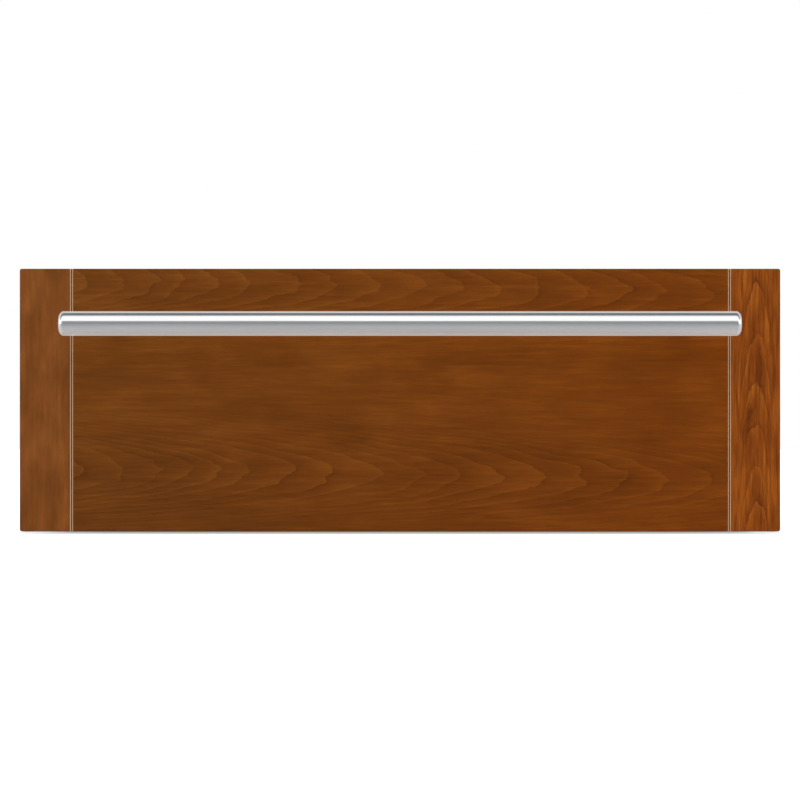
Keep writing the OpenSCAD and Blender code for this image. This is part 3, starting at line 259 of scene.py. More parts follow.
def painted_light_by_height(tree, colour, place_z, light_bands):
    """Paints light and shade into a colour by height, in (height in millimetres, factor) steps."""
    # The curve holds half of each factor, because it stays between 0 and 1
    level = drawn_curve(tree, place_z, light_bands[0][0], light_bands[-1][0],
                        [(z, share / 2) for z, share in light_bands])
    level = put(tree, MATH, {0: level, 1: 2.0}, operation="MULTIPLY")
    level = put(tree, "ShaderNodeCombineColor", {0: level, 1: level, 2: level})
    return put(tree, MIX, {0: 1.0, 6: colour, 7: level}, blend_type="MULTIPLY", **COLOURS)


def knotted(tree, colour, local, torn, dark, knot):
    """Adds one dark spot with a torn, soft edge."""
    centre, radii, strength = knot
    off = put(tree, "ShaderNodeVectorMath", {0: local, 1: centre}, operation="SUBTRACT")
    off = put(tree, "ShaderNodeVectorMath", {0: off, 1: [1 / r for r in radii]},
              operation="MULTIPLY")
    near = put(tree, "ShaderNodeVectorMath", {0: off}, out=1, operation="LENGTH")
    near = put(tree, MATH, {0: torn, 1: 1.4, 2: near}, operation="MULTIPLY_ADD")
    spot = put(tree, RAMP, {0: near, 1: 0.9, 2: 1.9, 3: strength, 4: 0.0},
               interpolation_type="SMOOTHSTEP")
    return put(tree, MIX, {0: spot, 6: colour, 7: dark}, **COLOURS)


def joint_highlight_and_wear(tree, colour, place_x, depth):
    """The bevels of the open joints are painted paler: partly wood sanded through, partly a painted
    highlight where the bevels catch the light.
    """
    highlight_and_wear_share, beside = 0.72, 1.6
    shallow_mid, shallow_half = 0.50, 0.46
    joint = put(tree, MATH, {0: place_x, 1: JOINT_SHIFT / MM}, operation="SUBTRACT")
    joint = put(tree, MATH, {0: joint}, operation="ABSOLUTE")
    joint = put(tree, MATH, {0: joint, 1: JOINT_X / MM, 2: beside}, operation="COMPARE")
    shallow = put(tree, MATH, {0: depth, 1: shallow_mid, 2: shallow_half}, operation="COMPARE")
    highlight_and_wear = put(tree, MATH, {0: joint, 1: shallow}, operation="MULTIPLY")
    highlight_and_wear = put(tree, MATH, {0: highlight_and_wear, 1: highlight_and_wear_share}, operation="MULTIPLY")
    # The pale colour is partly sanded wood and partly a painted highlight
    return put(tree, MIX, {0: highlight_and_wear, 6: colour, 7: linear("#dcbc9a")}, **COLOURS)


def cherry(name, along, hearts, opening, tips, tones, ring_depth, ragged, cells, weights,
           blush=None, light_bands=None, knots=()):
    """Flat-sawn cherry, stained and sprayed with a thin satin lacquer. The growth rings are cut
    at a shallow angle into nested arches. Each ring is pale just inside its tip, ends there in
    a thin dark line, and starts again dark.

    along is the axis of the grain, 0 for X or 2 for Z. hearts are the places across the grain
    that the arches centre on. opening draws half an arch, as (half width, distance behind the
    tip). tips are (place along the grain, strength of the dark line), in millimetres. ragged is how
    far the tips are torn. cells and weights are those of the fibres, the streaks and the
    clouds. blush is the tint at each end of X. The bands of brightness along Z are painted light
    and shade. knots are (centre, radii, strength) of dark spots."""
    material, tree, shader, place = new_material(name, Specular_IOR_Level=0.07)
    across = 2 if along == 0 else 0
    local = put(tree, "ShaderNodeVectorMath", {0: place, 1: (1 / MM,) * 3}, operation="MULTIPLY")
    split = put(tree, "ShaderNodeSeparateXYZ", {0: local}).node
    place_x, place_z = split.outputs[0], split.outputs[2]
    length, width = split.outputs[along], split.outputs[across]
    depth = put(tree, MATH, {0: split.outputs[1], 1: FACE_Y / MM}, operation="SUBTRACT")

    def sized(cell, detail, shift=(0.0, 0.0, 0.0)):
        """Noise with cells of that length, depth and width in the grain's own directions."""
        return stretched_noise(tree, place, cell if along == 0 else cell[::-1], detail, shift)

    behind = nested_arches(tree, sized, along, length, width, hearts, opening)
    tip, torn = ragged_tips(tree, sized, behind, length, depth, ragged)
    line, pale = ring_marks(tree, sized, tip, behind, tips)

    # Fibres are drawn 0.8 to 0.9 mm wide, coarser than real ones, so that they show at arm's length
    fibre = sized(cells[0], 3.0)
    streak = sized(cells[1], 2.0, (2, 6, 3))
    vessel = sized((5, 4, 0.6), 1.0, (1, 8, 4))
    cloud = sized(cells[2], 3.0, (4, 4, 8))

    dark, middle, light = (linear(tone) for tone in tones)
    ring_end = tuple(c * 0.42 for c in dark[:3]) + (1.0,)
    tone = put(tree, MATH, {0: pale, 1: ring_depth, 2: 0.5}, operation="MULTIPLY_ADD")
    for layer, weight in zip((fibre, streak, cloud), weights):
        shifted = put(tree, MATH, {0: layer, 1: weight, 2: -weight / 2}, operation="MULTIPLY_ADD")
        tone = put(tree, MATH, {0: shifted, 1: tone}, operation="ADD")
    below = put(tree, RAMP, {0: tone, 1: 0.15, 2: 0.5})
    colour = put(tree, MIX, {0: below, 6: dark, 7: middle}, **COLOURS)
    above = put(tree, RAMP, {0: tone, 1: 0.5, 2: 0.85})
    colour = put(tree, MIX, {0: above, 6: colour, 7: light}, **COLOURS)
    colour = put(tree, MIX, {0: line, 6: colour, 7: ring_end}, **COLOURS)
    # Open vessels show as short dark flecks
    fleck = put(tree, RAMP, {0: vessel, 1: 0.64, 2: 0.74, 3: 0.0, 4: 0.22})
    colour = put(tree, MIX, {0: fleck, 6: colour, 7: ring_end}, **COLOURS)
    if blush:
        colour = tinted(tree, colour, place_x, blush)
    # Painted light and shade by height
    if light_bands:
        colour = painted_light_by_height(tree, colour, place_z, light_bands)
    for knot in knots:
        colour = knotted(tree, colour, local, torn, ring_end, knot)
    colour = joint_highlight_and_wear(tree, colour, place_x, depth)
    rough = put(tree, RAMP, {0: fibre, 1: NOISE_LOW, 2: NOISE_HIGH, 3: 0.36, 4: 0.46})
    finish_material(tree, shader, colour, rough, fibre, 0.02 * MM)
    # Painted light: the boards glow pale grey, seen only by glossy rays, so that polished steel
    # mirrors them much paler than the stain under the lacquer
    glow_for_mirrors = put(tree, "ShaderNodeLightPath").node.outputs["Is Glossy Ray"]
    shader.inputs["Emission Color"].default_value = linear("#d6dbd9")
    glow_for_mirrors = put(tree, MATH, {0: glow_for_mirrors, 1: 0.80}, operation="MULTIPLY")
    tree.links.new(glow_for_mirrors, shader.inputs["Emission Strength"])
    return material


# ---------------------------------------------------------------- metal, rubber and the rest

def mottled(name, tones, cell_mm, metallic=0.0, rough=(0.4, 0.5), depth_mm=0.0, detail=3.0,
            fine_mm=None, **shader_values):
    """A surface that drifts between two tones over cells of that size in millimetres, with its
    roughness between two values and a bump of that depth. fine_mm is the cell of the roughness
    and the bump."""
    material, tree, shader, place = new_material(name, Metallic=metallic, **shader_values)
    drift = stretched_noise(tree, place, cell_mm, detail)
    fine = stretched_noise(tree, place, fine_mm or [size / 5 for size in evenly(cell_mm)], 3.0,
                           (5, 3, 8))
    spread = put(tree, RAMP, {0: drift, 1: NOISE_LOW, 2: NOISE_HIGH})
    colour = put(tree, MIX, {0: spread, 6: linear(tones[0]), 7: linear(tones[1])}, **COLOURS)
    roughness = put(tree, RAMP, {0: fine, 1: NOISE_LOW, 2: NOISE_HIGH, 3: rough[0], 4: rough[1]})
    finish_material(tree, shader, colour, roughness, fine if depth_mm else None, depth_mm * MM)
    return material


def spangled_zinc():
    """Hot-dip galvanised sheet: frozen zinc crystals, each with its own tone and dullness."""
    material, tree, shader, place = new_material("galvanised_sheet_steel", Metallic=1.0)
    spangle = 9.0 * MM
    scaled = put(tree, "ShaderNodeMapping", {"Vector": place, "Scale": [1 / spangle] * 3})
    crystal = put(tree, "ShaderNodeTexVoronoi", {"Vector": scaled, "Scale": 1.0}, out=1)
    tone = put(tree, "ShaderNodeSeparateColor", {0: crystal})
    frost = stretched_noise(tree, place, 2, 3.0)
    colour = put(tree, MIX, {0: tone, 6: linear("#9a9fa3"), 7: linear("#bcc0c3")}, **COLOURS)
    rough = put(tree, MATH, {0: tone, 1: 0.14, 2: 0.34}, operation="MULTIPLY_ADD")
    rough = put(tree, MATH, {0: frost, 1: 0.10, 2: rough}, operation="MULTIPLY_ADD")
    finish_material(tree, shader, colour, rough, frost, 0.01 * MM)
    return material


def drawn_steel(name, tones, crisp, soft, share):
    """Steel that was brushed and then buffed: part of it still scatters as brushed metal."""
    material, tree, shader, place = new_material(name, Metallic=1.0, Roughness=crisp)
    drift = stretched_noise(tree, place, (180, 5, 5), 3.0)
    spread = put(tree, RAMP, {0: drift, 1: NOISE_LOW, 2: NOISE_HIGH})
    colour = put(tree, MIX, {0: spread, 6: linear(tones[0]), 7: linear(tones[1])}, **COLOURS)
    finish_material(tree, shader, colour)
    brushed = put(tree, "ShaderNodeBsdfAnisotropic", {"Color": colour, "Roughness": soft})
    both = put(tree, "ShaderNodeMixShader", {0: share, 1: shader.outputs[0], 2: brushed})
    tree.links.new(both, tree.nodes["Material Output"].inputs["Surface"])
    return material


def printed_ink(name, colour):
    """Ink or foil on a hard face: a thin even film that lets a little of the ground through."""
    material, tree, shader, place = new_material(name, Specular_IOR_Level=0.35)
    film = stretched_noise(tree, place, 0.8)
    thick, thin = (tuple(c * share for c in colour) + (1.0,) for share in (0.85, 1.15))
    shade = put(tree, MIX, {0: film, 6: thick, 7: thin}, **COLOURS)
    rough = put(tree, RAMP, {0: film, 1: NOISE_LOW, 2: NOISE_HIGH, 3: 0.45, 4: 0.6})
    finish_material(tree, shader, shade, rough)
    return material


def lamp_lens():
    """Moulded amber polycarbonate: clear, saturated, with faint prisms inside."""
    material, tree, shader, place = new_material(
        "amber_lamp_lens", Roughness=0.12, Transmission_Weight=0.55, IOR=1.58)
    facet = 1.6 * MM
    scaled = put(tree, "ShaderNodeMapping", {"Vector": place, "Scale": [1 / facet] * 3})
    prism = put(tree, "ShaderNodeTexVoronoi", {"Vector": scaled, "Scale": 1.0})
    colour = put(tree, MIX, {0: prism, 6: linear("#e07a24"), 7: linear("#b9461a")}, **COLOURS)
    finish_material(tree, shader, colour, None, prism, 0.15 * MM)
    return material


def field_wood():
    """The lying middle board: two rows of arches, pinker at the left, painted lighter just under
    the handle, where its shadow falls, and darker towards the top and the bottom.
    """
    contrast = bpy.context.scene.drawer_wood.ring_contrast
    tips = [(-440, 0.3), (-402, 0.4), (-360, 0.3), (-315, 0.5), (-269, 0.4), (-237, 0.9),
            (-209, 0.4), (-178, 0.55), (-150, 0.4), (-103, 0.75), (-65, 1.0), (-18, 0.5),
            (21, 0.45), (60, 0.5), (98, 0.95), (144, 0.5), (189, 0.5), (226, 0.95), (266, 0.5),
            (313, 0.5), (356, 0.4), (384, 0.3), (431, 0.45), (470, 0.3), (498, 0.55),
            (545, 0.35), (578, 0.3), (632, 0.6), (671, 0.3), (703, 0.35), (752, 0.6),
            (791, 0.3), (823, 0.4), (880, 0.55), (920, 0.3), (985, 0.5), (1050, 0.35),
            (1130, 0.5), (1200, 0.3)]
    return cherry("lacquered_flat_sawn_cherry", 0, (59.7, 246.7),
                  [(0, 0), (13, 20), (26, 80), (35, 150), (55, 380), (85, 720), (100, 790)],
                  [(x, y * contrast) for x, y in tips],
                  ("#5e3005", "#793e0b", "#915014"), 0.22, 10.0,
                  ((26, 8, 0.9), (90, 20, 4.0), (75, 60, 30)), (0.42, 0.42, 0.6),
                  blush=((0.93, 1.08, 1.7), (1.07, 0.98, 0.6)),
                  # Painted light: brightest just under the handle, where its shadow falls on the
                  # board
                  light_bands=[(3, 0.96), (80, 0.95), (125, 1.03), (165, 1.12), (195, 1.14),
                         (225, 0.98), (262, 0.94)])


def left_wood():
    """The left upright board, cut beside the heart: nearly straight, quiet grain."""
    contrast = bpy.context.scene.drawer_wood.ring_contrast * 0.5
    tips = [(-160 + 34 * i + 9 * sin(2.3 * i), 0.35) for i in range(46)]
    return cherry("lacquered_straight_grain_cherry", 2, (-430.0,),
                  [(0, 0), (25, 80), (55, 420), (110, 1250)],
                  [(x, y * contrast) for x, y in tips],
                  ("#62360f", "#7e481c", "#985a28"), 0.10, 6.0,
                  ((26, 8, 0.9), (50, 20, 4.0), (42, 60, 17)), (0.26, 0.4, 0.9))


def right_wood():
    """The right upright board: steep pointed arches, redder and bolder, with two small knots."""
    contrast = bpy.context.scene.drawer_wood.ring_contrast * 1.7
    tips = [(-90, 0.6), (-52, 0.8), (-10, 0.7), (31, 0.8), (68, 0.9), (108, 1.0), (151, 0.5),
            (196, 0.6), (248, 0.9), (291, 0.6), (318, 1.0), (352, 0.7), (401, 1.0), (433, 0.7),
            (489, 1.0), (530, 0.8), (600, 1.0)]
    face = FACE_Y / MM
    return cherry("lacquered_arched_cherry", 2, (353.0,),
                  [(0, 0), (5, 8), (9, 20), (12, 35), (15, 60), (17, 95), (20, 160), (24, 250),
                   (30, 420)],
                  [(x, min(1.0, y * contrast)) for x, y in tips],
                  ("#6a3004", "#8c4610", "#b2621c"), 0.24, 9.0,
                  ((30, 8, 0.8), (60, 20, 2.2), (40, 60, 9)), (0.75, 0.75, 0.75),
                  knots=(((347.5, face, 119.0), (4.8, 20.0, 12.0), 0.55),
                         ((356.5, face, 168.0), (4.6, 30.0, 34.0), 0.42)))


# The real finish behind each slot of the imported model, and what it gives the eye
FINISHES = {
    "cherry_field": field_wood,
    "cherry_left": left_wood,
    "cherry_right": right_wood,
    # Tube brushed along its length and then buffed: crisp reflections over a soft round glow
    "handle_steel": lambda: drawn_steel(
        "polished_stainless_tube", ("#cfd0d2", "#d9dadb"), crisp=0.08, soft=0.38, share=0.26),
    # Cold-rolled sheet with a number 4 brushed face: fine parallel lines along X
    "stainless": lambda: mottled(
        "brushed_stainless_sheet", ("#b4b6b8", "#c5c6c8"), cell_mm=(140, 30, 4),
        metallic=1.0, rough=(0.24, 0.36), depth_mm=0.004, fine_mm=(40, 0.9, 0.45)),
    # Roll-formed strip with bright zinc plating: drawn lines along Y, a faint blue cast
    "rail_steel": lambda: mottled(
        "zinc_plated_rail_steel", ("#aeb2b8", "#c0c2c1"), cell_mm=(14, 120, 10),
        metallic=1.0, rough=(0.22, 0.32), depth_mm=0.003, fine_mm=(0.6, 45, 0.6)),
    # Ground and lapped bearing steel, almost a mirror
    "bearing_steel": lambda: mottled(
        "lapped_bearing_steel", ("#c9cbce", "#d6d8da"), cell_mm=2,
        metallic=1.0, rough=(0.05, 0.09)),
    "galvanised": spangled_zinc,
    # Barrel-plated zinc: softly dulled, a little yellow in the hollows
    "screw_steel": lambda: mottled(
        "zinc_plated_screw_steel", ("#a9aaa4", "#bfc1c3"), cell_mm=3,
        metallic=1.0, rough=(0.26, 0.40), depth_mm=0.01, fine_mm=0.5),
    # Glass fibre batt: matt tangled strands, straw yellow with paler tufts
    "wool": lambda: mottled(
        "glass_wool_batt", ("#cdbd86", "#e8ddb5"), cell_mm=(9, 3, 2.5),
        rough=(0.9, 1.0), depth_mm=1.6, detail=6.0, fine_mm=(5, 1.2, 0.9),
        Sheen_Weight=0.25),
    # Extruded silicone: smooth, slightly dusty with talc
    "silicone": lambda: mottled(
        "extruded_silicone_rubber", ("#343537", "#454648"), cell_mm=12,
        rough=(0.46, 0.62), depth_mm=0.02, fine_mm=1.2),
    # Moulded nitrile rubber: matt with a fine grain
    "foot_rubber": lambda: mottled(
        "moulded_nitrile_rubber", ("#202123", "#2e2f31"), cell_mm=6,
        rough=(0.62, 0.78), depth_mm=0.05, fine_mm=0.6),
    # Nickel-iron sheath after its first heats: straw, brown and slate temper colours
    "element": lambda: mottled(
        "heat_tinted_nickel_sheath", ("#4a4744", "#7a6f63"), cell_mm=26,
        metallic=0.85, rough=(0.38, 0.55), depth_mm=0.02, fine_mm=0.9),
    # Turned brass, a little tarnished
    "brass": lambda: mottled(
        "turned_brass", ("#a8874a", "#c9a862"), cell_mm=5,
        metallic=1.0, rough=(0.22, 0.36), depth_mm=0.006, fine_mm=(6, 0.3, 0.3)),
    # Injection-moulded acetal: waxy, just off white
    "cage_plastic": lambda: mottled(
        "moulded_acetal", ("#d3cebf", "#dfdbcf"), cell_mm=8,
        rough=(0.36, 0.46), depth_mm=0.01, fine_mm=0.8),
    # Injection-moulded nylon with a spark-eroded texture
    "black_plastic": lambda: mottled(
        "moulded_nylon", ("#222326", "#2c2d30"), cell_mm=7,
        rough=(0.44, 0.56), depth_mm=0.03, fine_mm=0.5),
    # Compression-moulded phenolic, buffed to a soft shine
    "knob_plastic": lambda: mottled(
        "buffed_phenolic", ("#1c1d1f", "#28292b"), cell_mm=5,
        rough=(0.20, 0.32), depth_mm=0.01, fine_mm=0.7),
    # Melamine-filled thermoset housing: pale and dry, with flow marks
    "pale_plastic": lambda: mottled(
        "thermoset_housing", ("#cfcbbd", "#dedacf"), cell_mm=(10, 6, 4),
        rough=(0.48, 0.60), depth_mm=0.01, fine_mm=0.8),
    # Pressed and fired steatite: chalky cream with fine dark grains
    "ceramic": lambda: mottled(
        "fired_steatite", ("#dcd6c6", "#eee9dd"), cell_mm=1.2,
        rough=(0.55, 0.70), depth_mm=0.03, fine_mm=0.4),
    "lamp": lamp_lens,
    # Extruded silicone lead sleeves
    "lead_insulation": lambda: mottled(
        "silicone_lead_sleeve", ("#a5302a", "#bb4038"), cell_mm=18,
        rough=(0.40, 0.52), depth_mm=0.01, fine_mm=0.8),
}
MADE = {}


def finish(slot):
    """The material of a slot, made when it is first asked for."""
    if slot not in MADE:
        MADE[slot] = FINISHES[slot]()
    return MADE[slot]


# ---------------------------------------------------------------- meshes

def add_piece(name, mesh, material, replaced, body=None):
    """Puts a finished mesh in the scene, in place of CAD nodes and on their body."""
    mesh.name = name
    piece = bpy.data.objects.new(name, mesh)
    bpy.context.scene.collection.objects.link(piece)
    mesh.materials.clear()
    mesh.materials.append(material)
    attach(piece, body or BODY_OF[replaced[0]])
    if replaced:
        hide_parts(*replaced)


def dress(*names):
    """Gives CAD nodes, whose shape is already right, the finish of their slot."""
    for name in names:
        for holder in NODES[name].material_slots:
            holder.material = finish(SLOT_OF[name])


def as_mesh(shape, smooth_angle=SHARP_ANGLE):
    """Turns bmesh geometry into a mesh that is smooth except across real edges."""
    mesh = bpy.data.meshes.new("finished")
    bmesh.ops.remove_doubles(shape, verts=shape.verts, dist=SAME / 10)
    bmesh.ops.recalc_face_normals(shape, faces=shape.faces)
    shape.to_mesh(mesh)
    shape.free()
    mesh.shade_smooth()
    mesh.set_sharp_from_angle(angle=radians(smooth_angle))
    return mesh


def lathe(shape, profile, centre, axis, steps=96, ripple=None):
    """Turns a profile of (distance along the axis, radius) points. A profile that doesn't start
    and end on the axis is closed on itself. ripple gives a factor for the radius at each angle
    and distance."""
    axis = Vector(axis).normalized()
    side = axis.orthogonal().normalized()
    up = axis.cross(side)
    rings = []
    for along, radius in profile:
        base = Vector(centre) + axis * along
        if radius == 0:
            rings.append([shape.verts.new(base)] * steps)
            continue
        ring = []
        for i in range(steps):
            angle = 2 * pi * i / steps
            r = radius * (ripple(angle, along) if ripple else 1)
            ring.append(shape.verts.new(base + (side * cos(angle) + up * sin(angle)) * r))
        rings.append(ring)
    open_ends = profile[0][1] == 0 and profile[-1][1] == 0
    pairs = list(zip(rings, rings[1:])) + ([] if open_ends else [(rings[-1], rings[0])])
    for low, high in pairs:
        for i in range(steps):
            j = (i + 1) % steps
            corners = []
            for vertex in (low[i], low[j], high[j], high[i]):
                if vertex not in corners:
                    corners.append(vertex)
            if len(corners) > 2:
                shape.faces.new(corners)


def arc(centre, radius, start, end, steps=6):
    """Points of an arc in a lathe profile, between two angles in degrees."""
    return [(centre[0] + radius * cos(radians(start + (end - start) * i / steps)),
             centre[1] + radius * sin(radians(start + (end - start) * i / steps)))
            for i in range(steps + 1)]


def extrude_board(outline, low_z, high_z, *roundings):
    """Extrudes a board's cross-section upwards. Each rounding is a test of an edge's two ends,
    which picks the edges, and a radius."""
    shape = bmesh.new()
    bottom = [shape.verts.new((x, y, low_z)) for x, y in outline]
    top = [shape.verts.new((x, y, high_z)) for x, y in outline]
    shape.faces.new(list(reversed(bottom)))
    shape.faces.new(top)
    count = len(outline)
    for i in range(count):
        j = (i + 1) % count
        shape.faces.new((bottom[i], bottom[j], top[j], top[i]))
    bmesh.ops.recalc_face_normals(shape, faces=shape.faces)
    for picks, radius in roundings:
        picked = [edge for edge in shape.edges if picks(*(v.co for v in edge.verts))]
        bmesh.ops.bevel(shape, geom=picked, offset=radius, offset_type="OFFSET", segments=5,
                        profile=0.5, affect="EDGES", clamp_overlap=True)
    return shape


def islands(name):
    """The separate solids of a CAD node, each as a list of its points."""
    shape = bmesh.new()
    shape.from_mesh(NODES[name].data)
    bmesh.ops.remove_doubles(shape, verts=shape.verts, dist=SAME)
    left, groups = set(shape.verts), []
    while left:
        stack, group = [left.pop()], []
        while stack:
            vertex = stack.pop()
            group.append(vertex.co.copy())
            for edge in vertex.link_edges:
                other = edge.other_vert(vertex)
                if other in left:
                    left.remove(other)
                    stack.append(other)
        groups.append(group)
    shape.free()
    return sorted(groups, key=lambda group: tuple(round(c, 5) for c in group_middle(group)))


def group_box(group):
    """The lower and the upper corner of the box round some points."""
    return [Vector([pick(p[a] for p in group) for a in range(3)]) for pick in (min, max)]


def group_middle(group):
    """The middle of the box round some points."""
    low, high = group_box(group)
    return (low + high) / 2


# ---------------------------------------------------------------- what repeats

def new_tree(name, inputs):
    """A Geometry Nodes tree with named inputs. Returns the tree and its input node."""
    tree = bpy.data.node_groups.new(name, "GeometryNodeTree")
    tree.interface.new_socket("Geometry", in_out="INPUT", socket_type="NodeSocketGeometry")
    for label, kind, default in inputs:
        socket = tree.interface.new_socket(label, in_out="INPUT", socket_type=kind)
        if default is not None:
            socket.default_value = default
    tree.interface.new_socket("Geometry", in_out="OUTPUT", socket_type="NodeSocketGeometry")
    return tree, tree.nodes.new("NodeGroupInput")


def close_tree(tree, given, geometry):
    """Ends a tree: real geometry, smooth, with the given material."""
    geometry = put(tree, "GeometryNodeRealizeInstances", {0: geometry})
    geometry = put(tree, "GeometryNodeSetMaterial",
                   {"Geometry": geometry, "Material": given.outputs["Material"]})
    put(tree, "NodeGroupOutput", {0: geometry})


def run_tree(tree, points, values, attributes=None):
    """Runs a tree on a cloud of points, which may carry vectors, and returns the plain mesh."""
    cloud = bpy.data.meshes.new(tree.name + "_places")
    cloud.from_pydata([tuple(p) for p in points], [], [])
    for label, vectors in (attributes or {}).items():
        layer = cloud.attributes.new(label, "FLOAT_VECTOR", "POINT")
        for item, vector in zip(layer.data, vectors):
            item.vector = vector
    holder = bpy.data.objects.new(tree.name + "_holder", cloud)
    bpy.context.scene.collection.objects.link(holder)
    modifier = holder.modifiers.new(tree.name, "NODES")
    modifier.node_group = tree
    for item in tree.interface.items_tree:
        if item.in_out == "INPUT" and item.name in values:
            modifier[item.identifier] = values[item.name]
    depsgraph = bpy.context.evaluated_depsgraph_get()
    mesh = bpy.data.meshes.new_from_object(
        holder.evaluated_get(depsgraph), preserve_all_data_layers=False, depsgraph=depsgraph)
    holder.modifiers.clear()
    bpy.data.objects.remove(holder)
    return mesh


SCREW_FACTS = ("way", "head_size", "shank_size", "seat")


def screw_tree():
    """Pan-head screws with a cross recess: a crowned head on a plain shank. Each point carries
    the way in, the sizes of the head and the shank, and the place of the seat."""
    tree, given = new_tree("cross_recess_screws", [
        ("Material", "NodeSocketMaterial", None),
        ("Recess width", "NodeSocketFloat", 0.14),
        ("Recess length", "NodeSocketFloat", 0.56),
        ("Turn seed", "NodeSocketInt", 7)])
    # The head and the shank are made 1 wide and 1 long, and scaled where they stand
    sides, crown = 28, 0.36
    disc = put(tree, "GeometryNodeMeshCylinder", {"Vertices": sides, "Radius": 0.5, "Depth": 0.5})
    disc = put(tree, "GeometryNodeTransform", {"Geometry": disc, "Translation": (0, 0, 0.75)})
    dome = put(tree, "GeometryNodeMeshCone", {"Vertices": sides, "Radius Top": crown,
               "Radius Bottom": 0.5, "Depth": 0.5})
    dome = put(tree, "GeometryNodeTransform", {"Geometry": dome, "Translation": (0, 0, 0.5),
               "Rotation": (pi, 0, 0)})
    head = put(tree, "GeometryNodeMeshBoolean", {1: dome}, operation="UNION", solver="EXACT")
    union = head.node
    tree.links.new(disc, union.inputs[1])
    size = put(tree, "ShaderNodeCombineXYZ", {0: given.outputs["Recess length"],
               1: given.outputs["Recess width"], 2: 1.2})
    wing = put(tree, "GeometryNodeMeshCube", {"Size": size})
    cross = put(tree, "GeometryNodeTransform", {"Geometry": wing, "Rotation": (0, 0, pi / 2)})
    cut = put(tree, "GeometryNodeMeshBoolean", {0: head, 1: wing}, operation="DIFFERENCE",
              solver="EXACT")
    tree.links.new(cross, cut.node.inputs[1])
    shank = put(tree, "GeometryNodeMeshCylinder", {"Vertices": 16, "Radius": 0.5, "Depth": 1.0})
    shank = put(tree, "GeometryNodeTransform", {"Geometry": shank, "Translation": (0, 0, 0.5)})

    way, head_size, shank_size, seat = (
        put(tree, "GeometryNodeInputNamedAttribute", {"Name": name}, data_type="FLOAT_VECTOR")
        for name in SCREW_FACTS)
    aim = put(tree, "FunctionNodeAlignRotationToVector", {"Vector": way}, axis="Z")
    spin = put(tree, "FunctionNodeRandomValue", {2: 0.0, 3: 2 * pi,
               "Seed": given.outputs["Turn seed"]}, out=1, data_type="FLOAT")
    spin = put(tree, "ShaderNodeCombineXYZ", {2: spin})
    aim = put(tree, "FunctionNodeRotateRotation", {0: aim, 1: put(
        tree, "FunctionNodeEulerToRotation", {0: spin})}, rotation_space="LOCAL")
    heads = put(tree, "GeometryNodeInstanceOnPoints", {"Points": given.outputs[0],
                "Instance": cut, "Rotation": aim, "Scale": head_size})
    lower = put(tree, "GeometryNodeSetPosition", {"Geometry": given.outputs[0], "Position": seat})
    shanks = put(tree, "GeometryNodeInstanceOnPoints", {"Points": lower, "Instance": shank,
                 "Rotation": aim, "Scale": shank_size})
    joined = put(tree, "GeometryNodeJoinGeometry", {0: heads})
    tree.links.new(shanks, joined.node.inputs[0])
    close_tree(tree, given, joined)
    return tree


def fastener(group):
    """Where a screw of the CAD stands: its outer end, direction, seat and sizes."""
    low, high = group_box(group)
    size = high - low
    # The axis is the one whose size is least like the two others
    axis = max(range(3), key=lambda a: min(abs(size[a] - size[b]) for b in range(3) if b != a))
    middle = (low + high) / 2
    flat, thinnest_head = 0.02 * MM, 0.1 * MM

    def reach(level):
        """The radius of the screw at one place along it."""
        ring = [p - middle for p in group if abs(p[axis] - level) < flat]
        return max(Vector([0 if a == axis else p[a] for a in range(3)]).length for p in ring)

    outward = 1 if reach(high[axis]) > reach(low[axis]) else -1
    top, tip = (high[axis], low[axis]) if outward > 0 else (low[axis], high[axis])
    head_r, shank_r = reach(top), reach(tip)
    deepest = max(abs(p[axis] - top) for p in group if reach(p[axis]) > head_r - flat)
    # A countersunk head is widest at its face only, and as high as it steps in
    head_h = deepest if deepest > thinnest_head else head_r - shank_r
    way = Vector([-outward if a == axis else 0 for a in range(3)])
    start = middle.copy()
    start[axis] = top
    return {"start": start, "way": way, "seat": start + way * head_h,
            "head_size": (2 * head_r, 2 * head_r, head_h),
            "shank_size": (2 * shank_r, 2 * shank_r, abs(top - tip) - head_h)}


def make_screws(*names):
    """Replaces each CAD node of screws by detailed ones in the same places."""
    tree = bpy.data.node_groups.get("cross_recess_screws") or screw_tree()
    for name in names:
        places = [fastener(group) for group in islands(name)]
        attributes = {fact: [place[fact] for place in places] for fact in SCREW_FACTS}
        material = finish(SLOT_OF[name])
        mesh = run_tree(tree, [place["start"] for place in places], {"Material": material},
                        attributes)
        mesh.shade_smooth()
        mesh.set_sharp_from_angle(angle=radians(SHARP_ANGLE))
        add_piece(name + "_cross_recess", mesh, material, (name,))


def ball_tree():
    """Bearing balls of one diameter, one at each point."""
    tree, given = new_tree("bearing_balls", [
        ("Material", "NodeSocketMaterial", None), ("Diameter", "NodeSocketFloat", 3.5 * MM)])
    radius = put(tree, MATH, {0: given.outputs["Diameter"], 1: 0.5}, operation="MULTIPLY")
    ball = put(tree, "GeometryNodeMeshIcoSphere", {"Radius": radius, "Subdivisions": 3})
    balls = put(tree, "GeometryNodeInstanceOnPoints", {"Points": given.outputs[0],
                "Instance": ball})
    close_tree(tree, given, balls)
    return tree


def make_balls(*names):
    """Replaces each CAD node of balls by smoother ones in the same places."""
    tree = bpy.data.node_groups.get("bearing_balls") or ball_tree()
    for name in names:
        groups = islands(name)
        low, high = group_box(groups[0])
        size = high.x - low.x
        material = finish(SLOT_OF[name])
        mesh = run_tree(tree, [group_middle(group) for group in groups],
                        {"Material": material, "Diameter": size})
        mesh.shade_smooth()
        add_piece(name + "_lapped", mesh, material, (name,))


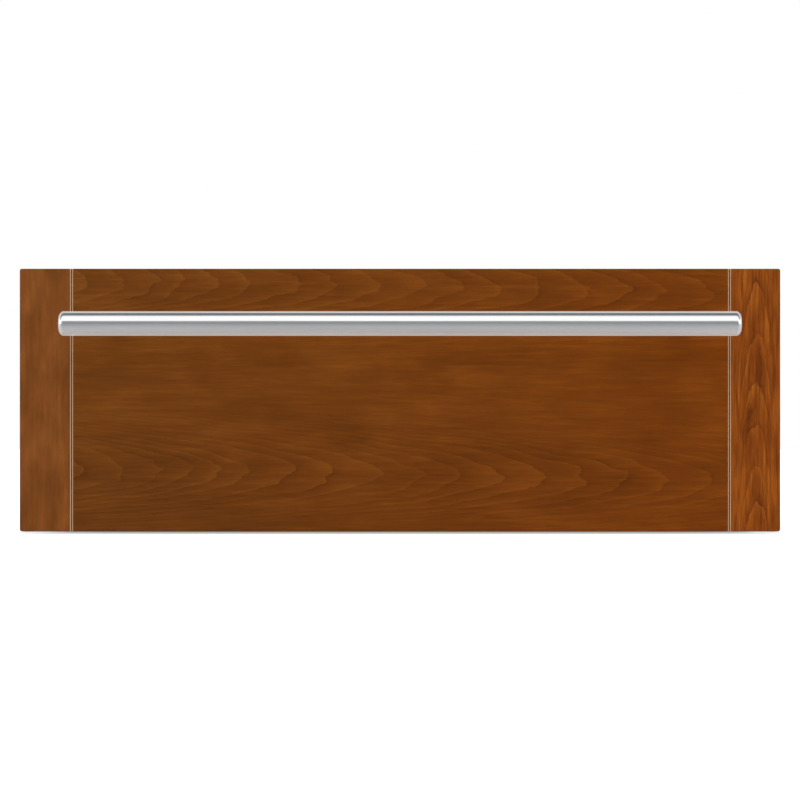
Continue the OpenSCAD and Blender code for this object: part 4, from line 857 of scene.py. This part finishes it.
def tick_tree():
    """Printed dial marks round the knob, growing longer along the heat range."""
    tree, given = new_tree("dial_marks", [
        ("Material", "NodeSocketMaterial", None), ("Count", "NodeSocketInt", 10),
        ("Inner radius", "NodeSocketFloat", 12.9 * MM), ("Mark width", "NodeSocketFloat", 0.5 * MM),
        ("Shortest", "NodeSocketFloat", 1.0 * MM), ("Growth", "NodeSocketFloat", 1.1 * MM)])
    count = given.outputs["Count"]
    points = put(tree, "GeometryNodePoints", {"Count": count})
    order = put(tree, "GeometryNodeInputIndex")
    last = put(tree, MATH, {0: count, 1: 1.0}, operation="SUBTRACT")
    share = put(tree, MATH, {0: order, 1: last}, operation="DIVIDE")
    angle = put(tree, MATH, {0: share, 1: radians(270)}, operation="MULTIPLY")
    length = put(tree, MATH, {0: share, 1: given.outputs["Growth"],
                 2: given.outputs["Shortest"]}, operation="MULTIPLY_ADD")
    radius = put(tree, MATH, {0: length, 1: 0.5, 2: given.outputs["Inner radius"]},
                 operation="MULTIPLY_ADD")
    across = put(tree, MATH, {0: put(tree, MATH, {0: angle}, operation="SINE"), 1: radius},
                 operation="MULTIPLY")
    rise = put(tree, MATH, {0: put(tree, MATH, {0: angle}, operation="COSINE"), 1: radius},
               operation="MULTIPLY")
    spot = put(tree, "ShaderNodeCombineXYZ", {0: across, 1: 0.0, 2: rise})
    placed = put(tree, "GeometryNodeSetPosition", {"Geometry": points, "Position": spot})
    mark = put(tree, "GeometryNodeMeshCube", {"Size": (1.0, 1.0, 1.0)})
    scale = put(tree, "ShaderNodeCombineXYZ", {0: given.outputs["Mark width"], 1: 0.04 * MM,
                2: length})
    turn = put(tree, "ShaderNodeCombineXYZ", {1: angle})
    marks = put(tree, "GeometryNodeInstanceOnPoints", {"Points": placed, "Instance": mark,
                "Rotation": turn, "Scale": scale})
    close_tree(tree, given, marks)
    return tree


# ---------------------------------------------------------------- what a user may change

class WoodSettings(bpy.types.PropertyGroup):
    """Sizes and tones of the cherry front."""
    arris: FloatProperty(name="Arris", description="Radius of the rounded edges of the boards",
                         default=1.0 * MM, min=0.0002, max=0.002, unit="LENGTH", precision=4)
    corner: FloatProperty(name="Corner", description="Radius of the outer corners of the front",
                          default=2.0 * MM, min=0.0005, max=0.006, unit="LENGTH", precision=4)
    joint_bevel: FloatProperty(name="Joint bevel", description="Width of the bevel at each joint",
                               default=1.0 * MM, min=0.0005, max=0.0015, unit="LENGTH", precision=4)
    ring_contrast: FloatProperty(name="Ring contrast", description="How strongly the dark "
                                 "lines between the rings show", default=0.6, min=0.0, max=1.0)


class HandleSettings(bpy.types.PropertyGroup):
    """Small radii of the handle, which the solids leave sharp."""
    edge: FloatProperty(name="Tube edge", description="Radius on the ends of the tube",
                        default=0.06 * MM, min=0.00002, max=0.0007, unit="LENGTH", precision=4)
    drop: FloatProperty(name="Drop", description="How far the bar hangs below its solid's axis",
                        default=0.6 * MM, min=0.0, max=0.001, unit="LENGTH", precision=4)
    polish: FloatProperty(name="Polish", description="Taken off the tube's radius",
                          default=0.35 * MM, min=0.0, max=0.0005, unit="LENGTH", precision=4)
    cap_curve: FloatProperty(name="Cap curve", description="How far the curve of a cap's rim "
                             "reaches towards its middle", default=7.6 * MM, min=0.002,
                             max=0.011, unit="LENGTH", precision=4)
    trim: FloatProperty(name="Trim", description="How far each polished end stays inside its solid",
                        default=0.75 * MM, min=0.0, max=0.002, unit="LENGTH", precision=4)
    seam: FloatProperty(name="Cap seam", description="Fine bevel where a cap meets the tube",
                        default=0.06 * MM, min=0.00002, max=0.001, unit="LENGTH", precision=4)


class DialSettings(bpy.types.PropertyGroup):
    """The printed heat scale round the knob."""
    marks: IntProperty(name="Marks", description="Number of marks over the knob's turn",
                       default=10, min=4, max=28)
    ink: FloatVectorProperty(name="Ink", description="Colour of the printed marks",
                             default=linear("#26282b")[:3], subtype="COLOR", min=0, max=1)
    pointer: FloatVectorProperty(name="Pointer", description="Colour of the knob's pointer line",
                                 default=linear("#e4e3de")[:3], subtype="COLOR", min=0, max=1)


class StudioSettings(bpy.types.PropertyGroup):
    """Camera and light of the studio."""
    distance: FloatProperty(name="Distance", description="From the wood to the camera",
                            default=6.0, min=2.0, max=12.0, unit="LENGTH")
    view_width: FloatProperty(name="View width", description="Width of the picture at the wood",
                              default=0.7952, min=0.5, max=3.0, unit="LENGTH")
    overhead: FloatProperty(name="Overhead", description="Brightness of the overhead softbox",
                            default=1.55, min=0.0, max=5.0)
    front: FloatProperty(name="Front", description="Brightness of the room behind the camera",
                         default=0.36, min=0.0, max=2.0)
    floor_lift: FloatProperty(name="Floor lift", description="White added to the floor that the "
                              "camera sees", default=0.6, min=0.0, max=1.0)


# ---------------------------------------------------------------- pieces

class Dressing:
    """What the operators share whose pieces have their shape already in the solids."""
    nodes = ()

    def execute(self, context):
        dress(*self.nodes)
        return {"FINISHED"}


class DRAWER_OT_wood_front(bpy.types.Operator):
    """Three cherry boards with rounded arrises and open bevelled joints"""
    bl_idname = "drawer.wood_front"
    bl_label = "Wood front"

    def execute(self, context):
        wood = context.scene.drawer_wood
        face, back = FACE_Y, FIELD_HIGH.y
        middle = (face + back) / 2
        bevel = wood.joint_bevel
        # Half the thickness of the tongues, and the depth of the grooves that take them
        tongue, groove_depth = 3.0 * MM, 11.0 * MM

        def on_face(a, b):
            """Whether both ends of an edge lie on the boards' face."""
            return abs(a.y - face) < SAME and abs(b.y - face) < SAME

        def front_arris(a, b):
            """The long edges of the face along the top and the bottom."""
            return on_face(a, b) and abs(a.z - b.z) < SAME

        edge, tip = JOINT_X - JOINT_GAP / 2, FIELD_HIGH.x
        half = [(edge - bevel, face), (edge, face + bevel), (edge, middle - tongue),
                (tip, middle - tongue), (tip, middle + tongue), (edge, middle + tongue),
                (edge, back)]
        whole = half + [(-x, y) for x, y in reversed(half)]
        outline = [(x + JOINT_SHIFT, y) for x, y in whole]
        board = extrude_board(outline, FIELD_LOW.z, FIELD_HIGH.z, (front_arris, wood.arris))
        add_piece("cherry_middle_board", as_mesh(board), finish("cherry_field"),
                  ("panel_field",))

        for side, node, slot in ((-1, "panel_stile_left", "cherry_left"),
                                 (1, "panel_stile_right", "cherry_right")):
            near, far = JOINT_X + JOINT_GAP / 2 + side * JOINT_SHIFT, RIGHT_HIGH.x
            groove = JOINT_X + groove_depth
            outline = [(near + bevel, face), (far, face), (far, back), (near, back),
                       (near, middle + tongue), (groove, middle + tongue),
                       (groove, middle - tongue), (near, middle - tongue), (near, face + bevel)]
            outline = [(side * x, y) for x, y in outline]

            def rounded(a, b):
                """The edge of the face, except along the joint."""
                return on_face(a, b) and max(abs(a.x), abs(b.x)) > near + 2 * bevel

            def outer_corner(a, b):
                """The short edges through the board at the corners of the whole front."""
                return (abs(abs(a.x) - far) < SAME and abs(abs(b.x) - far) < SAME
                        and abs(a.z - b.z) < SAME)

            board = extrude_board(outline, LEFT_LOW.z, LEFT_HIGH.z,
                                  (outer_corner, wood.corner), (rounded, wood.arris))
            name = "cherry_end_board_" + ("left" if side < 0 else "right")
            add_piece(name, as_mesh(board), finish(slot), (node,))
        return {"FINISHED"}


class DRAWER_OT_handle(bpy.types.Operator):
    """The tube of the handle, its domed end caps and its two posts"""
    bl_idname = "drawer.handle"
    bl_label = "Handle"

    def execute(self, context):
        settings = context.scene.drawer_handle
        steel = finish("handle_steel")
        radius = (BAR_HIGH.z - BAR_LOW.z) / 2
        centre = ((BAR_LOW.y + BAR_HIGH.y) / 2, (BAR_LOW.z + BAR_HIGH.z) / 2 - settings.drop)
        wall, hair = 1.5 * MM, 0.02 * MM
        bore, end, edge = radius - wall, BAR_HIGH.x - settings.trim, settings.edge
        radius -= settings.polish
        tube = bmesh.new()
        rounding = list(reversed(arc((end - edge, radius - edge), edge, 0, 90)))
        profile = [(-end, bore), (-end, radius - edge)]
        profile += [(-x, r) for x, r in rounding] + rounding
        profile += [(end, bore)]
        lathe(tube, profile, (0, *centre), (1, 0, 0), steps=192)
        add_piece("polished_handle_tube", as_mesh(tube), steel, ("handle_bar",))

        caps = bmesh.new()
        rim, seam, curve = CAPS_HIGH.x - BAR_HIGH.x, settings.seam, settings.cap_curve
        # Each cap has a plug that goes into the tube
        plug_long, plug = 9.0 * MM, bore - 0.05 * MM
        profile = [(end - plug_long, 0), (end - plug_long, plug), (end + hair, plug),
                   (end + hair, radius - seam), (end + seam, radius - hair)]
        profile += [(end + seam + x * (rim - seam), radius - curve + seam + y * (curve - seam))
                    for x, y in arc((0, 0), 1.0, 90, 0, 24)[1:]]
        profile += [(end + rim, 0)]
        for side in (-1, 1):
            lathe(caps, profile, (0, *centre), (side, 0, 0), steps=128)
        add_piece("domed_handle_caps", as_mesh(caps, smooth_angle=50), steel, ("handle_caps",))

        posts = bmesh.new()
        foot = (POSTS_HIGH.z - POSTS_LOW.z) / 2
        shaft, foot_t, fillet, chamfer = foot - 1.0 * MM, 2.0 * MM, 0.6 * MM, 0.4 * MM
        # The posts are let into the tube, so that its round leaves no gap
        let_in = 1.2 * MM
        start = centre[0] + radius - let_in
        length = FACE_Y - start
        shoulder = length - foot_t
        profile = [(0, 0), (0, shaft), (shoulder - fillet, shaft)]
        profile += arc((shoulder - fillet, shaft + fillet), fillet, -90, 0, 4)[1:]
        profile += [(shoulder, foot - chamfer), (shoulder + chamfer, foot), (length, foot),
                    (length, 0)]
        post_x = POSTS_HIGH.x - foot
        for side in (-1, 1):
            lathe(posts, profile, (side * post_x, start, centre[1]), (0, 1, 0))
        add_piece("turned_handle_posts", as_mesh(posts), steel, ("handle_posts",))
        return {"FINISHED"}


class DRAWER_OT_drawer_front(Dressing, bpy.types.Operator):
    """The steel plate, wool, inner skin and seal behind the boards"""
    bl_idname = "drawer.drawer_front"
    bl_label = "Drawer front"
    nodes = ("front_plate", "inner_front", "front_wool", "door_seal")


class DRAWER_OT_pan(Dressing, bpy.types.Operator):
    """The drawer pan with its brackets and moisture vent"""
    bl_idname = "drawer.pan"
    bl_label = "Pan and vent"
    nodes = ("drawer_pan", "drawer_bracket_left", "drawer_bracket_right", "vent_guide",
             "vent_strip")


class DRAWER_OT_rails(bpy.types.Operator):
    """The ball-bearing telescopic rails"""
    bl_idname = "drawer.rails"
    bl_label = "Rails"

    def execute(self, context):
        dress("inner_rail_left", "inner_rail_right", "middle_rail_left", "middle_rail_right",
              "outer_rail_left", "outer_rail_right", "inner_ball_cages", "outer_ball_cages",
              "rail_supports")
        make_balls("inner_balls", "outer_balls")
        return {"FINISHED"}


class DRAWER_OT_cabinet(Dressing, bpy.types.Operator):
    """The sheet-metal cabinet, its front frame and the cavity"""
    bl_idname = "drawer.cabinet"
    bl_label = "Cabinet"
    nodes = ("front_frame", "cavity_liner", "liner_support", "base_pan", "side_panel_left",
             "side_panel_right", "top_cover", "back_panel")


class DRAWER_OT_feet(bpy.types.Operator):
    """Moulded rubber feet with a recessed screw and a ribbed tread"""
    bl_idname = "drawer.feet"
    bl_label = "Feet"

    def execute(self, context):
        # The screw's hole, the well round its head, and the rubber that the head clamps
        hole, well, web = 2.05 * MM, 5.5 * MM, 5.0 * MM
        # The foot narrows to the floor by this, with a rounded lip and soft edges
        taper, lip, edge = 2.0 * MM, 1.2 * MM, 0.6 * MM
        # The tread: rings cut wider at the floor than at their bottom
        grooves, groove_deep, half_open, half_floor = 2, 0.7 * MM, 0.9 * MM, 0.5 * MM
        feet = bmesh.new()
        for group in islands("rubber_feet"):
            low, top = group_box(group)
            x, y, _ = (low + top) / 2
            wide, high = (top.x - low.x) / 2, top.z - low.z
            narrow = wide - taper
            floor = high - web
            profile = [(floor, hole), (floor, well), (edge, well), (0, well + edge)]
            for i in range(grooves):
                r = well + (narrow - well) * (i + 1) / (grooves + 1)
                profile += [(0, r - half_open), (groove_deep, r - half_floor),
                            (groove_deep, r + half_floor), (0, r + half_open)]
            profile += arc((lip, narrow - lip), lip, -180, -270, 5)
            profile += [(high - edge, wide), (high, wide - edge), (high, hole)]
            lathe(feet, profile, (x, y, low.z), (0, 0, 1), steps=64)
        add_piece("ribbed_rubber_feet", as_mesh(feet), finish("foot_rubber"), ("rubber_feet",))
        return {"FINISHED"}


class DRAWER_OT_insulation(Dressing, bpy.types.Operator):
    """Glass fibre batts round the cavity"""
    bl_idname = "drawer.insulation"
    bl_label = "Insulation"
    nodes = ("wool_top", "wool_bottom", "wool_sides", "wool_rear")


class DRAWER_OT_heater(Dressing, bpy.types.Operator):
    """The tube heater with its sleeves and clips, the probe and the limiter"""
    bl_idname = "drawer.heater"
    bl_label = "Heater"
    nodes = ("heating_element", "element_bushings", "element_clips", "temperature_probe",
             "limit_thermostat")


class DRAWER_OT_electrics(Dressing, bpy.types.Operator):
    """The terminal block, the leads and the cord inlet"""
    bl_idname = "drawer.electrics"
    bl_label = "Electrics"
    nodes = ("terminal_block", "terminal_bracket", "wiring", "cord_bushing")


class DRAWER_OT_controls(bpy.types.Operator):
    """The heat control, its knob and dial, and the pilot lamp"""
    bl_idname = "drawer.controls"
    bl_label = "Controls"

    def execute(self, context):
        dial = context.scene.drawer_dial
        dress("heat_control", "control_shaft", "dial_plate", "pilot_lamp")
        self.make_knob(dial)
        ink = printed_ink("screen_printed_ink", dial.ink)
        tree = bpy.data.node_groups.get("dial_marks") or tick_tree()
        marks = run_tree(tree, [(0, 0, 0)], {"Material": ink, "Count": dial.marks})
        # The marks stand round the knob, a hair in front of the plate
        knob = (KNOB_LOW + KNOB_HIGH) / 2
        place = Vector((knob.x, DIAL_LOW.y - 0.01 * MM, knob.z))
        marks.transform(Matrix.Translation(place))
        add_piece("printed_heat_scale", marks, ink, (), BODY_OF["dial_plate"])
        return {"FINISHED"}

    def make_knob(self, dial):
        """A skirted knob with a fluted grip, hollow behind for the nut and the shaft."""
        axis_x, axis_z = (KNOB_LOW.x + KNOB_HIGH.x) / 2, (KNOB_LOW.z + KNOB_HIGH.z) / 2
        skirt = (KNOB_HIGH.x - KNOB_LOW.x) / 2
        grip, long = skirt - 2.4 * MM, KNOB_HIGH.y - KNOB_LOW.y
        # The hollow: a wide one for the nut, then the shaft's bore up to the crown
        nut, nut_deep, shaft, crown = 7.9 * MM, 4.4 * MM, 3.05 * MM, 3.0 * MM
        skirt_high, skirt_round, edge, crown_round = 3.6 * MM, 1.2 * MM, 0.3 * MM, 1.5 * MM
        flute_count, flute_depth = 18, 0.035

        def flutes(angle, along):
            """The flutes run over the grip and not over the skirt or the crown."""
            fluted = 5.2 * MM < along < long - 0.9 * MM
            return 1 + flute_depth * cos(flute_count * angle) if fluted else 1

        profile = [(long - crown, 0), (long - crown, shaft), (nut_deep, shaft), (nut_deep, nut),
                   (0, nut), (0, skirt - edge), (edge, skirt), (skirt_high, skirt)]
        profile += arc((skirt_high, skirt - skirt_round), skirt_round, 90, 20, 5)[1:]
        profile += [(5.0 * MM, grip + 0.2 * MM), (5.6 * MM, grip), (long - crown_round, grip)]
        profile += arc((long - crown_round, grip - crown_round), crown_round, 80, 0, 5)
        # The top is slightly dished
        profile += [(long - 0.25 * MM, 5.5 * MM), (long - 0.5 * MM, 0)]
        knob = bmesh.new()
        lathe(knob, profile, (axis_x, KNOB_HIGH.y, axis_z), (0, -1, 0), steps=216, ripple=flutes)
        add_piece("fluted_control_knob", as_mesh(knob), finish("knob_plastic"),
                  ("control_knob",))
        line_wide, line_thick, line_long = 1.0 * MM, 0.1 * MM, 4.0 * MM
        centre = (axis_x, KNOB_LOW.y + 0.02 * MM, axis_z + grip - 3.4 * MM)
        line = bmesh.new()
        bmesh.ops.create_cube(line, size=1.0, matrix=Matrix.Translation(centre)
                              @ Matrix.Diagonal((line_wide, line_thick, line_long, 1)))
        add_piece("knob_pointer_line", as_mesh(line),
                  printed_ink("hot_stamped_pointer", dial.pointer), (),
                  BODY_OF["control_knob"])


class DRAWER_OT_fasteners(bpy.types.Operator):
    """Every screw and bolt, with a cross recess"""
    bl_idname = "drawer.fasteners"
    bl_label = "Fasteners"

    def execute(self, context):
        make_screws("panel_screws", "drawer_screws", "casing_screws", "foot_screws",
                    "handle_bolts", "rail_screws")
        return {"FINISHED"}


class DRAWER_OT_stage(bpy.types.Operator):
    """Pale floor, soft studio light and the camera"""
    bl_idname = "drawer.stage"
    bl_label = "Studio"

    def execute(self, context):
        studio = context.scene.drawer_studio
        context.scene.view_settings.view_transform = "Standard"
        self.make_world(context.scene, studio)
        self.make_floor(context.scene, studio)
        self.make_camera(context.scene, studio)
        return {"FINISHED"}

    def make_world(self, scene, studio):
        """Light by direction: a softbox from high in front to overhead, a darker room behind
        the camera, a pale wall behind the drawer and a bright pane low at each side. The camera
        itself sees white."""
        world = bpy.data.worlds.new("soft_studio")
        world.use_nodes = True
        tree = world.node_tree
        way = put(tree, "ShaderNodeTexCoord")
        split = put(tree, "ShaderNodeSeparateXYZ", {0: way}).node
        ahead = put(tree, MATH, {0: split.outputs[1], 1: -1.0}, operation="MULTIPLY")
        angle = put(tree, MATH, {0: split.outputs[2], 1: ahead}, operation="ARCTAN2")
        degrees = put(tree, MATH, {0: angle, 1: 180 / pi}, operation="MULTIPLY")
        level, dark_ceiling, pale_wall, pane_level = studio.front, 0.18, 0.95, 2.2
        # (from degrees, to degrees, brightness past the step), 0 in front and 180 behind
        for start, end, value in ((20, 26, studio.overhead), (66, 88, dark_ceiling),
                                  (112, 120, pale_wall)):
            step = put(tree, RAMP, {0: degrees, 1: start, 2: end, 3: 0.0, 4: 1.0},
                       interpolation_type="SMOOTHSTEP")
            level = put(tree, MIX, {0: step, 2: level, 3: value}, data_type="FLOAT")
        # The panes give the ends of the tube a pale edge
        aside = put(tree, MATH, {0: split.outputs[0]}, operation="ABSOLUTE")
        pane = put(tree, RAMP, {0: aside, 1: 0.80, 2: 0.92, 3: 0.0, 4: 1.0},
                   interpolation_type="SMOOTHSTEP")
        low = put(tree, MATH, {0: split.outputs[2], 1: 0.0, 2: 0.3}, operation="COMPARE")
        pane = put(tree, MATH, {0: pane, 1: low}, operation="MULTIPLY")
        lit = put(tree, MATH, {0: level, 1: pane_level}, operation="MAXIMUM")
        level = put(tree, MIX, {0: pane, 2: level, 3: lit}, data_type="FLOAT")
        seen = put(tree, "ShaderNodeLightPath")
        background = tree.nodes["Background"]
        strength = put(tree, MIX, {0: seen, 2: level, 3: 1.0}, data_type="FLOAT")
        tree.links.new(strength, background.inputs["Strength"])
        background.inputs["Color"].default_value = (1, 1, 1, 1)
        scene.world = world

    def make_floor(self, scene, studio):
        """White paper, with one tone for reflections and one for the camera, and a painted shadow:
        a strip behind the front's lower edge that is darker for the camera."""
        half_width, paper_tone, shadow_tone, corner_shadow_tone = 10.0, 0.89, 0.60, 0.34
        shape = bmesh.new()
        bmesh.ops.create_grid(shape, x_segments=1, y_segments=1, size=half_width)
        floor = bpy.data.objects.new("pale_floor", as_mesh(shape))
        material = bpy.data.materials.new("matt_white_paper")
        material.use_nodes = True
        tree = material.node_tree
        output = tree.nodes["Material Output"]
        tree.nodes.remove(tree.nodes["Principled BSDF"])
        # In reflections the paper falls off in light away from the drawer
        split = put(tree, "ShaderNodeSeparateXYZ", {0: put(tree, "ShaderNodeTexCoord", out=3)})
        beside = put(tree, MATH, {0: split}, operation="ABSOLUTE")
        path = put(tree, "ShaderNodeLightPath").node
        seen, mirrored = path.outputs["Is Camera Ray"], path.outputs["Is Glossy Ray"]
        away = put(tree, MATH, {0: FACE_Y, 1: split.node.outputs[1]}, operation="SUBTRACT")
        far = put(tree, RAMP, {0: away, 1: 0.0, 2: 0.5, 3: 1.0, 4: 0.62})
        further = put(tree, RAMP, {0: away, 1: 0.5, 2: 2.5, 3: 0.0, 4: 0.22})
        far = put(tree, MATH, {0: far, 1: further}, operation="SUBTRACT")
        # The painted shadow: a dark strip from just behind the face to the cabinet's rear, and as
        # wide as the front
        behind = put(tree, RAMP, {0: away, 1: -0.17, 2: -0.035, 3: 1.0, 4: 0.0},
                     interpolation_type="SMOOTHSTEP")
        under = put(tree, RAMP, {0: beside, 1: 0.379, 2: 0.388, 3: 1.0, 4: 0.0},
                    interpolation_type="SMOOTHSTEP")
        rear = FACE_Y - CAD_BOX[1][1]
        within = put(tree, RAMP, {0: away, 1: rear, 2: rear + 0.05, 3: 0.0, 4: 1.0},
                     interpolation_type="SMOOTHSTEP")
        painted_shadow = put(tree, MATH, {0: behind, 1: under}, operation="MULTIPLY")
        painted_shadow = put(tree, MATH, {0: painted_shadow, 1: within}, operation="MULTIPLY")
        painted_shadow_seen = put(tree, MATH, {0: painted_shadow, 1: seen}, operation="MULTIPLY")
        # Painted shadow: light from the sides reaches under the corners, so the paper is painted
        # darkest there
        corner = put(tree, RAMP, {0: beside, 1: 0.345, 2: 0.382, 3: shadow_tone, 4: corner_shadow_tone})
        near = put(tree, RAMP, {0: painted_shadow_seen, 3: paper_tone, 4: corner})
        tone = put(tree, MIX, {0: mirrored, 2: near, 3: far}, data_type="FLOAT")
        grey = put(tree, "ShaderNodeCombineColor", {0: tone, 1: tone, 2: tone})
        paper = put(tree, "ShaderNodeBsdfDiffuse", {0: grey})
        # The camera sees the paper lifted to white, except in the painted shadow
        strip = put(tree, RAMP, {0: painted_shadow, 3: studio.floor_lift, 4: 0.0})
        lift = put(tree, MATH, {0: seen, 1: strip}, operation="MULTIPLY")
        glow = put(tree, "ShaderNodeEmission", {0: (1, 1, 1, 1), 1: lift})
        surface = put(tree, "ShaderNodeAddShader", {0: paper, 1: glow})
        tree.links.new(surface, output.inputs["Surface"])
        floor.data.materials.append(material)
        scene.collection.objects.link(floor)

    def make_camera(self, scene, studio):
        """Level, square on to the front, far enough away to show no perspective."""
        data = bpy.data.cameras.new("front_camera")
        data.sensor_width = 36.0
        data.lens = data.sensor_width * studio.distance / studio.view_width
        data.clip_end = 100
        camera = bpy.data.objects.new("front_camera", data)
        camera.location = (0.0, FACE_Y - studio.distance, PANEL_MID)
        camera.rotation_euler = (pi / 2, 0, 0)
        scene.collection.objects.link(camera)
        scene.camera = camera


class DRAWER_PT_panel(bpy.types.Panel):
    """Lists the pieces and the sizes and colours that can be changed"""
    bl_idname = "DRAWER_PT_panel"
    bl_label = "Warming drawer"
    bl_space_type = "VIEW_3D"
    bl_region_type = "UI"
    bl_category = "Drawer"

    def draw(self, context):
        for group in GROUPS:
            settings = getattr(context.scene, group)
            box = self.layout.box()
            for name in settings.__annotations__:
                box.prop(settings, name)
        for operator in OPERATORS:
            self.layout.operator(operator.bl_idname)


GROUPS = {"drawer_wood": WoodSettings, "drawer_handle": HandleSettings,
          "drawer_dial": DialSettings, "drawer_studio": StudioSettings}
OPERATORS = (DRAWER_OT_stage, DRAWER_OT_wood_front, DRAWER_OT_handle, DRAWER_OT_drawer_front,
             DRAWER_OT_pan, DRAWER_OT_rails, DRAWER_OT_cabinet, DRAWER_OT_feet,
             DRAWER_OT_insulation, DRAWER_OT_heater, DRAWER_OT_electrics, DRAWER_OT_controls,
             DRAWER_OT_fasteners)


def register():
    """The groups of settings first, because the operators read them."""
    for group in GROUPS.values():
        bpy.utils.register_class(group)
    for name, group in GROUPS.items():
        setattr(bpy.types.Scene, name, PointerProperty(type=group))
    for item in (*OPERATORS, DRAWER_PT_panel):
        bpy.utils.register_class(item)


def unregister():
    """Takes back all that register did."""
    for item in reversed((*OPERATORS, DRAWER_PT_panel)):
        bpy.utils.unregister_class(item)
    for name in GROUPS:
        delattr(bpy.types.Scene, name)
    for group in GROUPS.values():
        bpy.utils.unregister_class(group)


def main():
    """Registers the classes, then makes every piece and the studio."""
    register()
    for operator in OPERATORS:
        category, name = operator.bl_idname.split(".")
        getattr(getattr(bpy.ops, category), name)()


if __name__ == "__main__":
    main()
